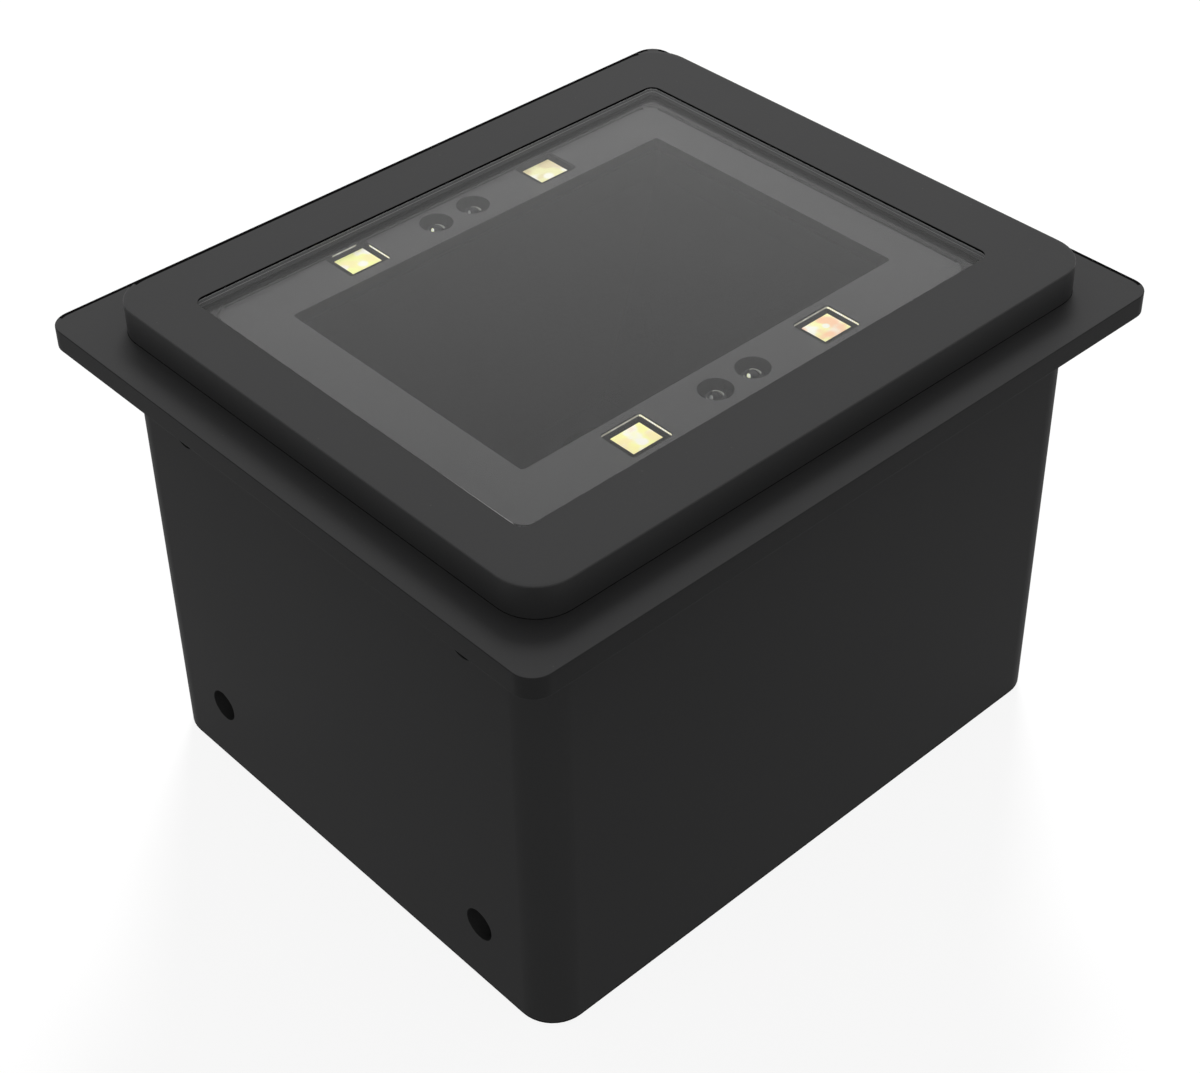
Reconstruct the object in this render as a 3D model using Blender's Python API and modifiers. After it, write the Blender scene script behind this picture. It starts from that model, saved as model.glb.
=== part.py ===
"""Fixed barcode reader: a panel-mounted reader in a moulded case, modelled piece by piece.

The origin is the middle of the case's rear face, +Z runs towards the window and +X along the long
side. Sizes are in metres; the driving dimensions come first and all other values follow from them.
"""

import math

import bmesh
import bpy
from mathutils import Matrix, Vector

MM = 0.001

# Fits between the pieces
SEAT_GAP = 0.3 * MM
SCREW_GAP = 0.3 * MM
THREAD_GAP = 0.15 * MM
OVERCUT = 1.0 * MM

# Housing: the deep body of the case
HOUSING_LENGTH = 69.9 * MM
HOUSING_WIDTH = 59.1 * MM
TOTAL_HEIGHT = 53.5 * MM
HOUSING_WALL = 2.0 * MM
HOUSING_CORNER = 3.8 * MM
CASE_SCREW_INSET = 5.75 * MM
COLUMN_RADIUS = 3.4 * MM
COLUMN_ROOT = 0.5 * MM
FILL_INSET = 1.1 * MM
SIDE_HOLE_RADIUS = 1.75 * MM
SIDE_HOLE_DEPTH = 4.2 * MM
SIDE_HOLE_INSET = 9.55 * MM
SIDE_HOLE_LOW = 7.55 * MM
SIDE_BOSS_WALL = 1.35 * MM
SIDE_BOSS_FLOOR = 0.8 * MM

# Front frame: flange, raised bezel and skirt
FLANGE_OVERHANG_X = 4.55 * MM
FLANGE_OVERHANG_Y = 4.65 * MM
FLANGE_THICKNESS = 2.3 * MM
FLANGE_CORNER = 2.2 * MM
BEZEL_PROUD_X = 0.45 * MM
BEZEL_PROUD_Y = 0.3 * MM
BEZEL_RISE = 3.35 * MM
BEZEL_CORNER = 4.2 * MM
EDGE_BREAK = 0.25 * MM
RAIL_LEFT = 5.28 * MM
RAIL_RIGHT = 6.7 * MM
RAIL_FRONT = 7.14 * MM
RAIL_BACK = 6.73 * MM
WINDOW_CORNER = 1.1 * MM
LEDGE_X = 1.15 * MM
LEDGE_Y = 0.75 * MM
LEDGE_CORNER = 2.3 * MM
SKIRT_WALL = 1.3 * MM
REBATE_DEPTH = 0.6 * MM
FRAME_BOSS_RADIUS = 2.6 * MM
PILOT_ROOF = 0.7 * MM

# Window
GLASS_INSET = 0.1 * MM
GLASS_THICKNESS = 2.0 * MM
GLASS_BEVEL = 0.2 * MM
GASKET_THICKNESS = 0.5 * MM

# Light mask with its opening and wells
MASK_THICKNESS = 1.2 * MM
MASK_RAIL_LEFT = 4.83 * MM
MASK_RAIL_RIGHT = 4.41 * MM
MASK_RAIL_FRONT = 6.06 * MM
MASK_RAIL_BACK = 5.66 * MM
OPENING_CORNER = 0.4 * MM
LED_SHIFT_X = -0.83 * MM
LED_ROW_FRONT = 2.94 * MM
LED_ROW_BACK = 2.22 * MM
LED_PITCH = 24.0 * MM
LED_LENGTH = 3.6 * MM
LED_WIDTH = 3.1 * MM
LED_DEPTH = 0.38 * MM
COLLAR_WALL = 0.2 * MM
COLLAR_CLEARANCE = 0.25 * MM
COLLAR_DEPTH = 0.2 * MM
WELL_CLEARANCE = 0.2 * MM
WELL_CORNER = 0.5 * MM
AIMER_PITCH = 4.72 * MM
AIMER_WELL_TOP_RADIUS = 1.68 * MM
AIMER_WELL_END_RADIUS = 1.25 * MM
AIMER_BASE_RADIUS = 1.0 * MM
AIMER_BASE_HEIGHT = 0.2 * MM
AIMER_DOME_RADIUS = 0.65 * MM
LED_BOARD_THICKNESS = 1.0 * MM

# Light shroud: plate, mouth, funnel, floor and posts
PLATE_THICKNESS = 1.6 * MM
MOUTH_WALL = 0.6 * MM
FUNNEL_WALL = 1.2 * MM
FUNNEL_END = 17.0 * MM
FLOOR_THICKNESS = 1.5 * MM
POST_RADIUS = 2.0 * MM
POST_LENGTH = 5.5 * MM
POST_INSET = 2.8 * MM
SHROUD_SCREW_SPACING = 28.0 * MM
SHROUD_SCREW_INSET = 2.05 * MM
SHROUD_PILOT_DEPTH = 2.2 * MM
SMALL_SHANK_RADIUS = 0.9 * MM
SMALL_HEAD_RADIUS = 1.6 * MM
SMALL_HEAD_HEIGHT = 1.2 * MM
FLEX_WIDTH = 8.0 * MM
FLEX_THICKNESS = 0.2 * MM
FLEX_SLOT_WIDTH = 1.0 * MM
FLEX_WALL_DISTANCE = 1.0 * MM

# Camera
SENSOR_BOARD_LENGTH = 26.0 * MM
SENSOR_BOARD_WIDTH = 24.0 * MM
SENSOR_BOARD_THICKNESS = 1.2 * MM
SENSOR_LENGTH = 6.4 * MM
SENSOR_WIDTH = 5.4 * MM
SENSOR_HEIGHT = 1.0 * MM
HOLDER_SIDE = 13.0 * MM
HOLDER_WALL = 1.8 * MM
HOLDER_BLOCK_HEIGHT = 3.4 * MM
HOLDER_COLLAR_WALL = 1.0 * MM
BARREL_RADIUS = 4.2 * MM
BARREL_HEAD_RADIUS = 5.0 * MM
BARREL_HEAD_HEIGHT = 2.2 * MM
BARREL_REACH = 2.6 * MM
BARREL_WALL = 1.2 * MM
LENS_SEAT_DEPTH = 1.4 * MM
LENS_THICKNESS = 1.1 * MM
FLEX_CONNECTOR_LENGTH = 3.0 * MM
FLEX_CONNECTOR_HEIGHT = 1.2 * MM
FLEX_CONNECTOR_MARGIN = 0.6 * MM

# Main board and what it carries
MAIN_BOARD_THICKNESS = 1.6 * MM
MAIN_BOARD_MARGIN_X = 1.95 * MM
MAIN_BOARD_MARGIN_Y = 0.9 * MM
BOARD_SCREW_INSET_X = 5.0 * MM
BOARD_SCREW_INSET_Y = 3.5 * MM
BOARD_BOSS_RADIUS = 2.7 * MM
LINK_HEIGHT = 4.8 * MM
LINK_CLEARANCE = 0.6 * MM
LINK_WIDTH = 4.2 * MM
LINK_INSET = 3.3 * MM
DECODER_SIDE = 14.0 * MM
DECODER_HEIGHT = 1.2 * MM
MEMORY_LENGTH = 11.0 * MM
MEMORY_WIDTH = 8.0 * MM
MEMORY_HEIGHT = 1.0 * MM
CHIP_SPREAD = 14.0 * MM
CHIP_OFFSET_Y = 7.0 * MM
BEEPER_RADIUS = 5.0 * MM
BEEPER_HEIGHT = 7.5 * MM
BEEPER_HOLE_RADIUS = 1.0 * MM
BEEPER_X = 16.0 * MM
BEEPER_Y = 6.0 * MM

# Cable socket
SOCKET_LENGTH = 16.0 * MM
SOCKET_WIDTH = 13.4 * MM
SOCKET_HEIGHT = 13.4 * MM
SOCKET_Y = -9.0 * MM
PLUG_LENGTH = 11.9 * MM
PLUG_WIDTH = 6.9 * MM
PLUG_DEPTH = 11.0 * MM
PLUG_WALL = 1.5 * MM
LATCH_LENGTH = 6.3 * MM
LATCH_WIDTH = 2.4 * MM
LATCH_STEP_LENGTH = 3.8 * MM
LATCH_STEP_WIDTH = 1.2 * MM

# Rear cover and its seal
COVER_THICKNESS = 3.2 * MM
SEAL_WIDTH = 1.0 * MM
SEAL_THICKNESS = 0.6 * MM
SEAL_LEDGE_WIDTH = 1.2 * MM
SEAL_LEDGE_HEIGHT = 1.5 * MM

# Screws
CASE_SHANK_RADIUS = 1.4 * MM
CASE_HEAD_RADIUS = 2.75 * MM
CASE_HEAD_HEIGHT = 1.7 * MM
CASE_HEAD_INSET = 0.2 * MM
SCREW_END_ROOM = 0.5 * MM
RECESS_WIDTH = 0.6 * MM
RECESS_SHARE = 0.65
RECESS_DEPTH = 0.9 * MM
BOARD_SHANK_RADIUS = 1.15 * MM
BOARD_HEAD_RADIUS = 2.2 * MM
BOARD_HEAD_HEIGHT = 1.4 * MM
BOARD_SCREW_LENGTH = 7.0 * MM

ROUND_SIDES = 32
SMALL_SIDES = 20
CORNER_STEPS = 6


class Rect:
    """A plan outline whose x runs from left to right and whose y runs from front to back."""

    def __init__(self, left, right, front, back):
        self.left = left
        self.right = right
        self.front = front
        self.back = back

    @classmethod
    def around(cls, x, y, length, width):
        """Outline of a length along x and a width along y about the point (x, y)."""
        return cls(x - length / 2, x + length / 2, y - width / 2, y + width / 2)

    def inset(self, left, right, front, back):
        """The outline moved in by its own amount on each side."""
        return Rect(self.left + left, self.right - right, self.front + front, self.back - back)

    def shrunk(self, x, y=None):
        """The outline moved in by x at both ends and by y at front and back."""
        y = x if y is None else y
        return self.inset(x, x, y, y)

    @property
    def length(self):
        return self.right - self.left

    @property
    def width(self):
        return self.back - self.front

    @property
    def x(self):
        return (self.left + self.right) / 2

    @property
    def y(self):
        return (self.front + self.back) / 2


# Levels of the case, from the rear face up
flange_top = TOTAL_HEIGHT - BEZEL_RISE
flange_bottom = flange_top - FLANGE_THICKNESS
skirt_bottom = flange_bottom - SEAT_GAP - PLATE_THICKNESS
housing_top = flange_bottom + REBATE_DEPTH - SEAT_GAP
column_top = skirt_bottom - SEAT_GAP
seal_bottom = COVER_THICKNESS + SEAT_GAP
seal_ledge = seal_bottom + SEAL_THICKNESS + SEAT_GAP

# Levels under the window, from the top down
glass_top = TOTAL_HEIGHT - GLASS_INSET
glass_bottom = glass_top - GLASS_THICKNESS
gasket_top = glass_bottom - SEAT_GAP
gasket_bottom = gasket_top - GASKET_THICKNESS
frame_ledge = gasket_bottom - SEAT_GAP
mask_top = glass_bottom - SEAT_GAP
mask_bottom = mask_top - MASK_THICKNESS
led_board_top = mask_bottom - SEAT_GAP
led_board_bottom = led_board_top - LED_BOARD_THICKNESS
led_seat = led_board_top + SEAT_GAP
mouth_top = mask_bottom - SEAT_GAP
pedestal_top = led_board_bottom - SEAT_GAP
plate_top = flange_bottom - SEAT_GAP
plate_bottom = plate_top - PLATE_THICKNESS

# Levels of the electronics, from the rear face up
socket_bottom = SEAT_GAP
main_board_bottom = socket_bottom + SOCKET_HEIGHT + SEAT_GAP
main_board_top = main_board_bottom + MAIN_BOARD_THICKNESS
link_bottom = main_board_top + SEAT_GAP
sensor_board_bottom = link_bottom + LINK_HEIGHT + SEAT_GAP
sensor_board_top = sensor_board_bottom + SENSOR_BOARD_THICKNESS
post_bottom = sensor_board_top + SEAT_GAP
floor_bottom = post_bottom + POST_LENGTH
floor_top = floor_bottom + FLOOR_THICKNESS
floor_middle = (floor_bottom + floor_top) / 2
funnel_knee = (plate_bottom + plate_top) / 2

# Plan outlines
housing_outline = Rect.around(0, 0, HOUSING_LENGTH, HOUSING_WIDTH)
cavity_outline = housing_outline.shrunk(HOUSING_WALL)
flange_outline = housing_outline.shrunk(-FLANGE_OVERHANG_X, -FLANGE_OVERHANG_Y)
bezel_outline = housing_outline.shrunk(-BEZEL_PROUD_X, -BEZEL_PROUD_Y)
skirt_outline = cavity_outline.shrunk(SEAT_GAP)
skirt_inner = skirt_outline.shrunk(SKIRT_WALL)
plate_outline = skirt_inner.shrunk(SEAT_GAP)
window_outline = bezel_outline.inset(RAIL_LEFT, RAIL_RIGHT, RAIL_FRONT, RAIL_BACK)
ledge_outline = window_outline.shrunk(LEDGE_X, LEDGE_Y)
mask_outline = ledge_outline.shrunk(SEAT_GAP)
opening_outline = mask_outline.inset(MASK_RAIL_LEFT, MASK_RAIL_RIGHT, MASK_RAIL_FRONT, MASK_RAIL_BACK)
mouth_outline = opening_outline.shrunk(-MOUTH_WALL)
optical_x = opening_outline.x
optical_y = opening_outline.y
funnel_mouth = opening_outline.shrunk(-FUNNEL_WALL)
funnel_end = Rect.around(optical_x, optical_y, FUNNEL_END, FUNNEL_END)
funnel_end_outer = funnel_end.shrunk(-FUNNEL_WALL)
sensor_board_outline = Rect.around(optical_x, optical_y, SENSOR_BOARD_LENGTH, SENSOR_BOARD_WIDTH)
post_outline = sensor_board_outline.shrunk(POST_INSET)
floor_outline = post_outline.shrunk(-POST_RADIUS - SEAT_GAP)
cover_outline = cavity_outline.shrunk(SEAT_GAP)
socket_outline = Rect.around(0, SOCKET_Y, SOCKET_LENGTH, SOCKET_WIDTH)
case_screw_x = HOUSING_LENGTH / 2 - CASE_SCREW_INSET
case_screw_y = HOUSING_WIDTH / 2 - CASE_SCREW_INSET
main_board_outline = Rect(
    cavity_outline.left + MAIN_BOARD_MARGIN_X,
    cavity_outline.right - MAIN_BOARD_MARGIN_X,
    -(case_screw_y - COLUMN_RADIUS - MAIN_BOARD_MARGIN_Y),
    case_screw_y - COLUMN_RADIUS - MAIN_BOARD_MARGIN_Y,
)

# Screw and hole places
case_screw_places = [(sx * case_screw_x, sy * case_screw_y) for sx in (-1, 1) for sy in (-1, 1)]
shroud_screw_y = skirt_inner.back - SHROUD_SCREW_INSET
shroud_screw_places = [
    (sx * SHROUD_SCREW_SPACING / 2, sy * shroud_screw_y) for sx in (-1, 1) for sy in (-1, 1)
]
post_places = [
    (x, y) for x in (post_outline.left, post_outline.right) for y in (post_outline.front, post_outline.back)
]
link_length = post_outline.length - 2 * (SMALL_HEAD_RADIUS + LINK_CLEARANCE)
board_screw_places = [
    (
        sx * (main_board_outline.right - BOARD_SCREW_INSET_X),
        sy * (main_board_outline.back - BOARD_SCREW_INSET_Y),
    )
    for sx in (-1, 1)
    for sy in (-1, 1)
]
side_boss_half = SIDE_HOLE_RADIUS + SIDE_BOSS_WALL
side_boss_depth = SIDE_HOLE_DEPTH + SIDE_BOSS_FLOOR - HOUSING_WALL
side_hole_y = HOUSING_WIDTH / 2 - SIDE_HOLE_INSET
side_hole_high = column_top - side_boss_half

# Light places
led_centre_x = mask_outline.x + LED_SHIFT_X
led_rows = (mask_outline.front + LED_ROW_FRONT, mask_outline.back - LED_ROW_BACK)
led_places = [(led_centre_x + sx * LED_PITCH / 2, y) for y in led_rows for sx in (-1, 1)]
aimer_places = [(led_centre_x + sx * AIMER_PITCH / 2, y) for y in led_rows for sx in (-1, 1)]
collar_length = LED_LENGTH + 2 * (COLLAR_CLEARANCE + COLLAR_WALL)
collar_width = LED_WIDTH + 2 * (COLLAR_CLEARANCE + COLLAR_WALL)

barrel_bore_radius = BARREL_RADIUS + SEAT_GAP
flex_x = funnel_mouth.left - FLEX_WALL_DISTANCE
flex_drop_x = floor_outline.left - FLEX_WALL_DISTANCE
flex_share = (flex_drop_x - flex_x) / (funnel_end_outer.left - funnel_mouth.left)
flex_drop = funnel_knee - flex_share * (funnel_knee - floor_middle)
flex_connector_x = sensor_board_outline.left + FLEX_CONNECTOR_MARGIN + FLEX_CONNECTOR_LENGTH / 2


def clear_scene():
    """Remove every object of the open scene."""
    for obj in list(bpy.data.objects):
        bpy.data.objects.remove(obj, do_unlink=True)


def new_collection(name):
    """A collection linked to the scene."""
    collection = bpy.data.collections.new(name)
    bpy.context.scene.collection.children.link(collection)
    return collection


def finish_material(name, colour, roughness, metallic=0.0, transmission=0.0):
    """A Principled material with one colour, roughness and metallic value."""
    material = bpy.data.materials.new(name)
    material.use_nodes = True
    shader = material.node_tree.nodes["Principled BSDF"]
    shader.inputs["Base Color"].default_value = (*colour, 1.0)
    shader.inputs["Roughness"].default_value = roughness
    shader.inputs["Metallic"].default_value = metallic
    shader.inputs["Transmission Weight"].default_value = transmission
    return material


clear_scene()
PARTS = new_collection("fixed_barcode_reader")
CUTTERS = new_collection("cutters")

ROOT = bpy.data.objects.new("reader_origin", None)
PARTS.objects.link(ROOT)

BLACK_PLASTIC = finish_material("black_plastic", (0.028, 0.028, 0.029), 0.55)
SHROUD_BLACK = finish_material("shroud_black", (0.012, 0.012, 0.012), 0.85)
CLEAR_GLASS = finish_material("clear_glass", (0.95, 0.97, 0.96), 0.02, transmission=1.0)
BLACK_RUBBER = finish_material("black_rubber", (0.02, 0.02, 0.02), 0.8)
GREY_MASK = finish_material("grey_mask", (0.12, 0.12, 0.125), 0.6)
LED_PHOSPHOR = finish_material("led_phosphor", (0.93, 0.83, 0.45), 0.35)
LED_LENS = finish_material("led_lens", (0.7, 0.72, 0.75), 0.12)
BOARD_GREEN = finish_material("board_green", (0.02, 0.12, 0.05), 0.5)
CHIP_BLACK = finish_material("chip_black", (0.03, 0.03, 0.032), 0.45)
STEEL = finish_material("steel", (0.45, 0.45, 0.46), 0.35, metallic=1.0)
BRASS_BLACK = finish_material("anodised_black", (0.02, 0.02, 0.021), 0.3, metallic=0.8)
SENSOR_FACE = finish_material("sensor_face", (0.06, 0.05, 0.09), 0.15)
CONNECTOR_IVORY = finish_material("connector_ivory", (0.72, 0.68, 0.55), 0.5)
FLEX_AMBER = finish_material("flex_amber", (0.45, 0.2, 0.04), 0.4)


def edges_where(mesh, test):
    """Edges of a bmesh whose two end points both pass a test together."""
    return [edge for edge in mesh.edges if test(*(vert.co for vert in edge.verts))]


def upright(first, second):
    """Whether two points stand over each other."""
    return (first.xy - second.xy).length < 1e-7


def block(outline, bottom, top, corner=0.0, top_break=0.0, bottom_break=0.0):
    """A box on a plan outline, with rounded upright corners and broken top and bottom edges."""
    mesh = bmesh.new()
    size = Vector((outline.length, outline.width, top - bottom))
    middle = Vector((outline.x, outline.y, (top + bottom) / 2))
    bmesh.ops.create_cube(mesh, size=1.0, matrix=Matrix.Translation(middle) @ Matrix.Diagonal(size).to_4x4())
    if corner > 0:
        bmesh.ops.bevel(
            mesh, geom=edges_where(mesh, upright), offset=corner, segments=CORNER_STEPS,
            profile=0.5, affect="EDGES", clamp_overlap=True,
        )
    for level, width in ((top, top_break), (bottom, bottom_break)):
        if width > 0:
            rim = edges_where(mesh, lambda a, b: max(abs(a.z - level), abs(b.z - level)) < 1e-7)
            bmesh.ops.bevel(mesh, geom=rim, offset=width, segments=2, profile=0.5, affect="EDGES")
    return mesh


def quadrant(x, y, start, limit):
    """The outline from a start beside a point out to the limit outline's corner on that side."""
    left, right = (x + start, limit.right) if x > 0 else (limit.left, x - start)
    front, back = (y + start, limit.back) if y > 0 else (limit.front, y - start)
    return Rect(left, right, front, back)


def rod(x, y, radius, bottom, top, sides=ROUND_SIDES, top_radius=None):
    """An upright cylinder, or a cone where its top radius differs."""
    mesh = bmesh.new()
    place = Matrix.Translation((x, y, (bottom + top) / 2))
    bmesh.ops.create_cone(
        mesh, cap_ends=True, segments=sides, radius1=radius,
        radius2=radius if top_radius is None else top_radius, depth=top - bottom, matrix=place,
    )
    return mesh


def cross_rod(start_x, end_x, y, z, radius, sides=ROUND_SIDES):
    """A cylinder that lies along x."""
    mesh = bmesh.new()
    place = Matrix.Translation(((start_x + end_x) / 2, y, z)) @ Matrix.Rotation(math.pi / 2, 4, "Y")
    bmesh.ops.create_cone(
        mesh, cap_ends=True, segments=sides, radius1=radius, radius2=radius,
        depth=abs(end_x - start_x), matrix=place,
    )
    return mesh


def funnel(mouth, end, top, knee, bottom):
    """A straight mouth from top to knee whose lower face is drawn down to a smaller end."""
    mesh = block(mouth, knee, top)
    lower = min(mesh.faces, key=lambda face: face.calc_center_median().z)
    drawn = bmesh.ops.extrude_discrete_faces(mesh, faces=[lower])["faces"][0]
    for vert in drawn.verts:
        vert.co.x = end.x + (vert.co.x - mouth.x) * end.length / mouth.length
        vert.co.y = end.y + (vert.co.y - mouth.y) * end.width / mouth.width
        vert.co.z = bottom
    return mesh


def to_mesh(name, shape):
    """A mesh data block from a bmesh, which is freed."""
    data = bpy.data.meshes.new(name)
    shape.to_mesh(data)
    shape.free()
    return data


def piece(name, data, material, location=(0, 0, 0)):
    """A named part made from mesh data, shaded smooth across its round faces."""
    if not data.materials:
        data.materials.append(material)
    data.shade_smooth()
    data.set_sharp_from_angle(angle=math.radians(30))
    obj = bpy.data.objects.new(name, data)
    PARTS.objects.link(obj)
    obj.location = location
    obj.parent = ROOT
    return obj


def solid(name, shape, material, location=(0, 0, 0)):
    """A named part made from a bmesh."""
    return piece(name, to_mesh(name, shape), material, location)


def combine(obj, shape, operation):
    """Join a shape to a part, or cut it away, with a Boolean modifier."""
    count = len(obj.modifiers) + 1
    tool = bpy.data.objects.new(f"{obj.name}_tool_{count}", to_mesh(f"{obj.name}_tool_{count}", shape))
    CUTTERS.objects.link(tool)
    tool.hide_render = True
    tool.display_type = "WIRE"
    modifier = obj.modifiers.new(f"{operation.lower()}_{count}", "BOOLEAN")
    modifier.object = tool
    modifier.operation = operation
    modifier.solver = "EXACT"


def join(obj, *shapes):
    """Join shapes to a part."""
    for shape in shapes:
        combine(obj, shape, "UNION")


def cut(obj, *shapes):
    """Cut shapes out of a part."""
    for shape in shapes:
        combine(obj, shape, "DIFFERENCE")


def turned(name, profile, material, location=(0, 0, 0), steps=ROUND_SIDES, closed=False):
    """A turned part from a profile of (radius, height) points that runs down its outer side."""
    shape = bmesh.new()
    verts = [shape.verts.new((radius, 0, height)) for radius, height in profile]
    pairs = list(zip(verts, verts[1:]))
    if closed:
        pairs.append((verts[-1], verts[0]))
    for pair in pairs:
        shape.edges.new(pair)
    obj = solid(name, shape, material, location)
    spin = obj.modifiers.new("turn", "SCREW")
    spin.steps = steps
    spin.render_steps = steps
    spin.use_merge_vertices = True
    spin.merge_threshold = 1e-6
    return obj


def evaluated_mesh(obj):
    """The mesh of an object with its modifiers applied; the object is removed."""
    graph = bpy.context.evaluated_depsgraph_get()
    data = bpy.data.meshes.new_from_object(obj.evaluated_get(graph))
    bpy.data.objects.remove(obj, do_unlink=True)
    return data


def repeated(name, master, material, places, height):
    """Numbered copies of one master part, which share its mesh, at plan places and one height."""
    data = evaluated_mesh(master)
    for number, (x, y) in enumerate(places, start=1):
        piece(f"{name}_{number}", data, material, (x, y, height))


def screw_profile(head_radius, head_height, shank_radius, length):
    """Profile of a screw that stands on its head, its seat at height zero."""
    crown = head_height * 0.25
    point = shank_radius * 0.6
    return [
        (0, length),
        (shank_radius - point, length),
        (shank_radius, length - point),
        (shank_radius, 0),
        (head_radius, 0),
        (head_radius, -head_height + crown),
        (head_radius - crown, -head_height),
        (0, -head_height),
    ]


def cross_recess(head_radius, head_height):
    """The two crossed slots of a driver recess in a head whose seat is at height zero."""
    reach = 2 * head_radius * RECESS_SHARE
    bottom = -head_height - OVERCUT
    top = -head_height + min(RECESS_DEPTH, head_height * RECESS_SHARE)
    return (
        block(Rect.around(0, 0, reach, RECESS_WIDTH), bottom, top),
        block(Rect.around(0, 0, RECESS_WIDTH, reach), bottom, top),
    )


def screw_master(head_radius, head_height, shank_radius, length):
    """A pan head screw with a cross recess, shank up."""
    profile = screw_profile(head_radius, head_height, shank_radius, length)
    master = turned("screw_master", profile, STEEL, steps=SMALL_SIDES)
    cut(master, *cross_recess(head_radius, head_height))
    return master


def build_housing():
    """Deep body: walls, seal ledge, four screw columns and the bosses of the side holes."""
    inner_corner = HOUSING_CORNER - HOUSING_WALL
    body = solid(
        "housing",
        block(housing_outline, 0, housing_top, HOUSING_CORNER, bottom_break=EDGE_BREAK),
        BLACK_PLASTIC,
    )
    ledge_top = seal_ledge + SEAL_LEDGE_HEIGHT
    cut(
        body,
        block(cavity_outline, -OVERCUT, seal_ledge, inner_corner),
        block(cavity_outline.shrunk(SEAL_LEDGE_WIDTH), -OVERCUT, ledge_top + OVERCUT, inner_corner),
        block(cavity_outline, ledge_top, housing_top + OVERCUT, inner_corner),
    )
    column_bottom = seal_ledge + SEAL_LEDGE_HEIGHT / 2
    for x, y in case_screw_places:
        fill = quadrant(x, y, FILL_INSET, cavity_outline.shrunk(-COLUMN_ROOT))
        join(
            body,
            rod(x, y, COLUMN_RADIUS, column_bottom, column_top),
            block(fill, column_bottom + FILL_INSET, column_top - FILL_INSET),
        )
    for side in (-1, 1):
        outer_x = side * housing_outline.right
        boss_x = side * (cavity_outline.right - side_boss_depth)
        root_x = side * (cavity_outline.right + HOUSING_WALL / 2)
        for y in (-side_hole_y, side_hole_y):
            for z in (SIDE_HOLE_LOW, side_hole_high):
                boss = Rect(min(boss_x, root_x), max(boss_x, root_x), y - side_boss_half, y + side_boss_half)
                join(body, block(boss, z - side_boss_half, z + side_boss_half))
                end_x = outer_x - side * SIDE_HOLE_DEPTH
                cut(body, cross_rod(outer_x + side * OVERCUT, end_x, y, z, SIDE_HOLE_RADIUS))
    for x, y in case_screw_places:
        cut(body, rod(x, y, CASE_SHANK_RADIUS + SCREW_GAP, 0, housing_top, SMALL_SIDES))


def build_front_frame():
    """Flange, raised bezel with the window recess, skirt and the four screw bosses."""
    frame = solid(
        "front_frame",
        block(bezel_outline, flange_bottom, TOTAL_HEIGHT, BEZEL_CORNER, top_break=EDGE_BREAK),
        BLACK_PLASTIC,
    )
    join(frame, block(flange_outline, flange_bottom, flange_top, FLANGE_CORNER, EDGE_BREAK, EDGE_BREAK))
    rebate = housing_outline.shrunk(-SEAT_GAP)
    rebate_top = flange_bottom + REBATE_DEPTH
    root_top = flange_bottom + FLANGE_THICKNESS / 2
    cut(frame, block(rebate, flange_bottom - OVERCUT, rebate_top, HOUSING_CORNER + SEAT_GAP))
    join(frame, block(skirt_outline, skirt_bottom, root_top, HOUSING_CORNER - HOUSING_WALL))
    cut(frame, block(skirt_inner, skirt_bottom - OVERCUT, flange_bottom))
    for x, y in case_screw_places:
        join(frame, rod(x, y, FRAME_BOSS_RADIUS, skirt_bottom, root_top))
        pilot_top = frame_ledge - PILOT_ROOF
        cut(frame, rod(x, y, CASE_SHANK_RADIUS + THREAD_GAP, skirt_bottom - OVERCUT, pilot_top, SMALL_SIDES))
    cut(
        frame,
        block(window_outline, frame_ledge, TOTAL_HEIGHT + OVERCUT, WINDOW_CORNER),
        block(ledge_outline, skirt_bottom - OVERCUT, TOTAL_HEIGHT, LEDGE_CORNER),
    )
    for x, y in shroud_screw_places:
        pilot_top = flange_bottom + SHROUD_PILOT_DEPTH
        cut(frame, rod(x, y, SMALL_SHANK_RADIUS + THREAD_GAP, skirt_bottom, pilot_top, SMALL_SIDES))


def build_window():
    """Glass with a fine bevel, and the foam gasket between its rim and the ledge."""
    glass_outline = window_outline.shrunk(SEAT_GAP)
    glass_corner = WINDOW_CORNER - SEAT_GAP
    solid(
        "window_glass",
        block(glass_outline, glass_bottom, glass_top, glass_corner, GLASS_BEVEL, GLASS_BEVEL),
        CLEAR_GLASS,
    )
    gasket = solid("window_gasket", block(glass_outline, gasket_bottom, gasket_top, glass_corner), BLACK_RUBBER)
    cut(gasket, block(ledge_outline, gasket_bottom - OVERCUT, gasket_top + OVERCUT, LEDGE_CORNER))


def build_light_mask():
    """Grey mask with the camera opening, four LED wells and four tapered aiming wells."""
    mask = solid("light_mask", block(mask_outline, mask_bottom, mask_top, LEDGE_CORNER - SEAT_GAP), GREY_MASK)
    low = mask_bottom - OVERCUT
    high = mask_top + OVERCUT
    cut(mask, block(opening_outline, low, high, OPENING_CORNER))
    for x, y in led_places:
        well = Rect.around(x, y, collar_length, collar_width).shrunk(-WELL_CLEARANCE)
        cut(mask, block(well, low, high, WELL_CORNER))
    slope = (AIMER_WELL_TOP_RADIUS - AIMER_WELL_END_RADIUS) / MASK_THICKNESS * OVERCUT
    for x, y in aimer_places:
        end_radius = AIMER_WELL_END_RADIUS - slope
        cut(mask, rod(x, y, end_radius, low, high, ROUND_SIDES, AIMER_WELL_TOP_RADIUS + slope))


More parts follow.
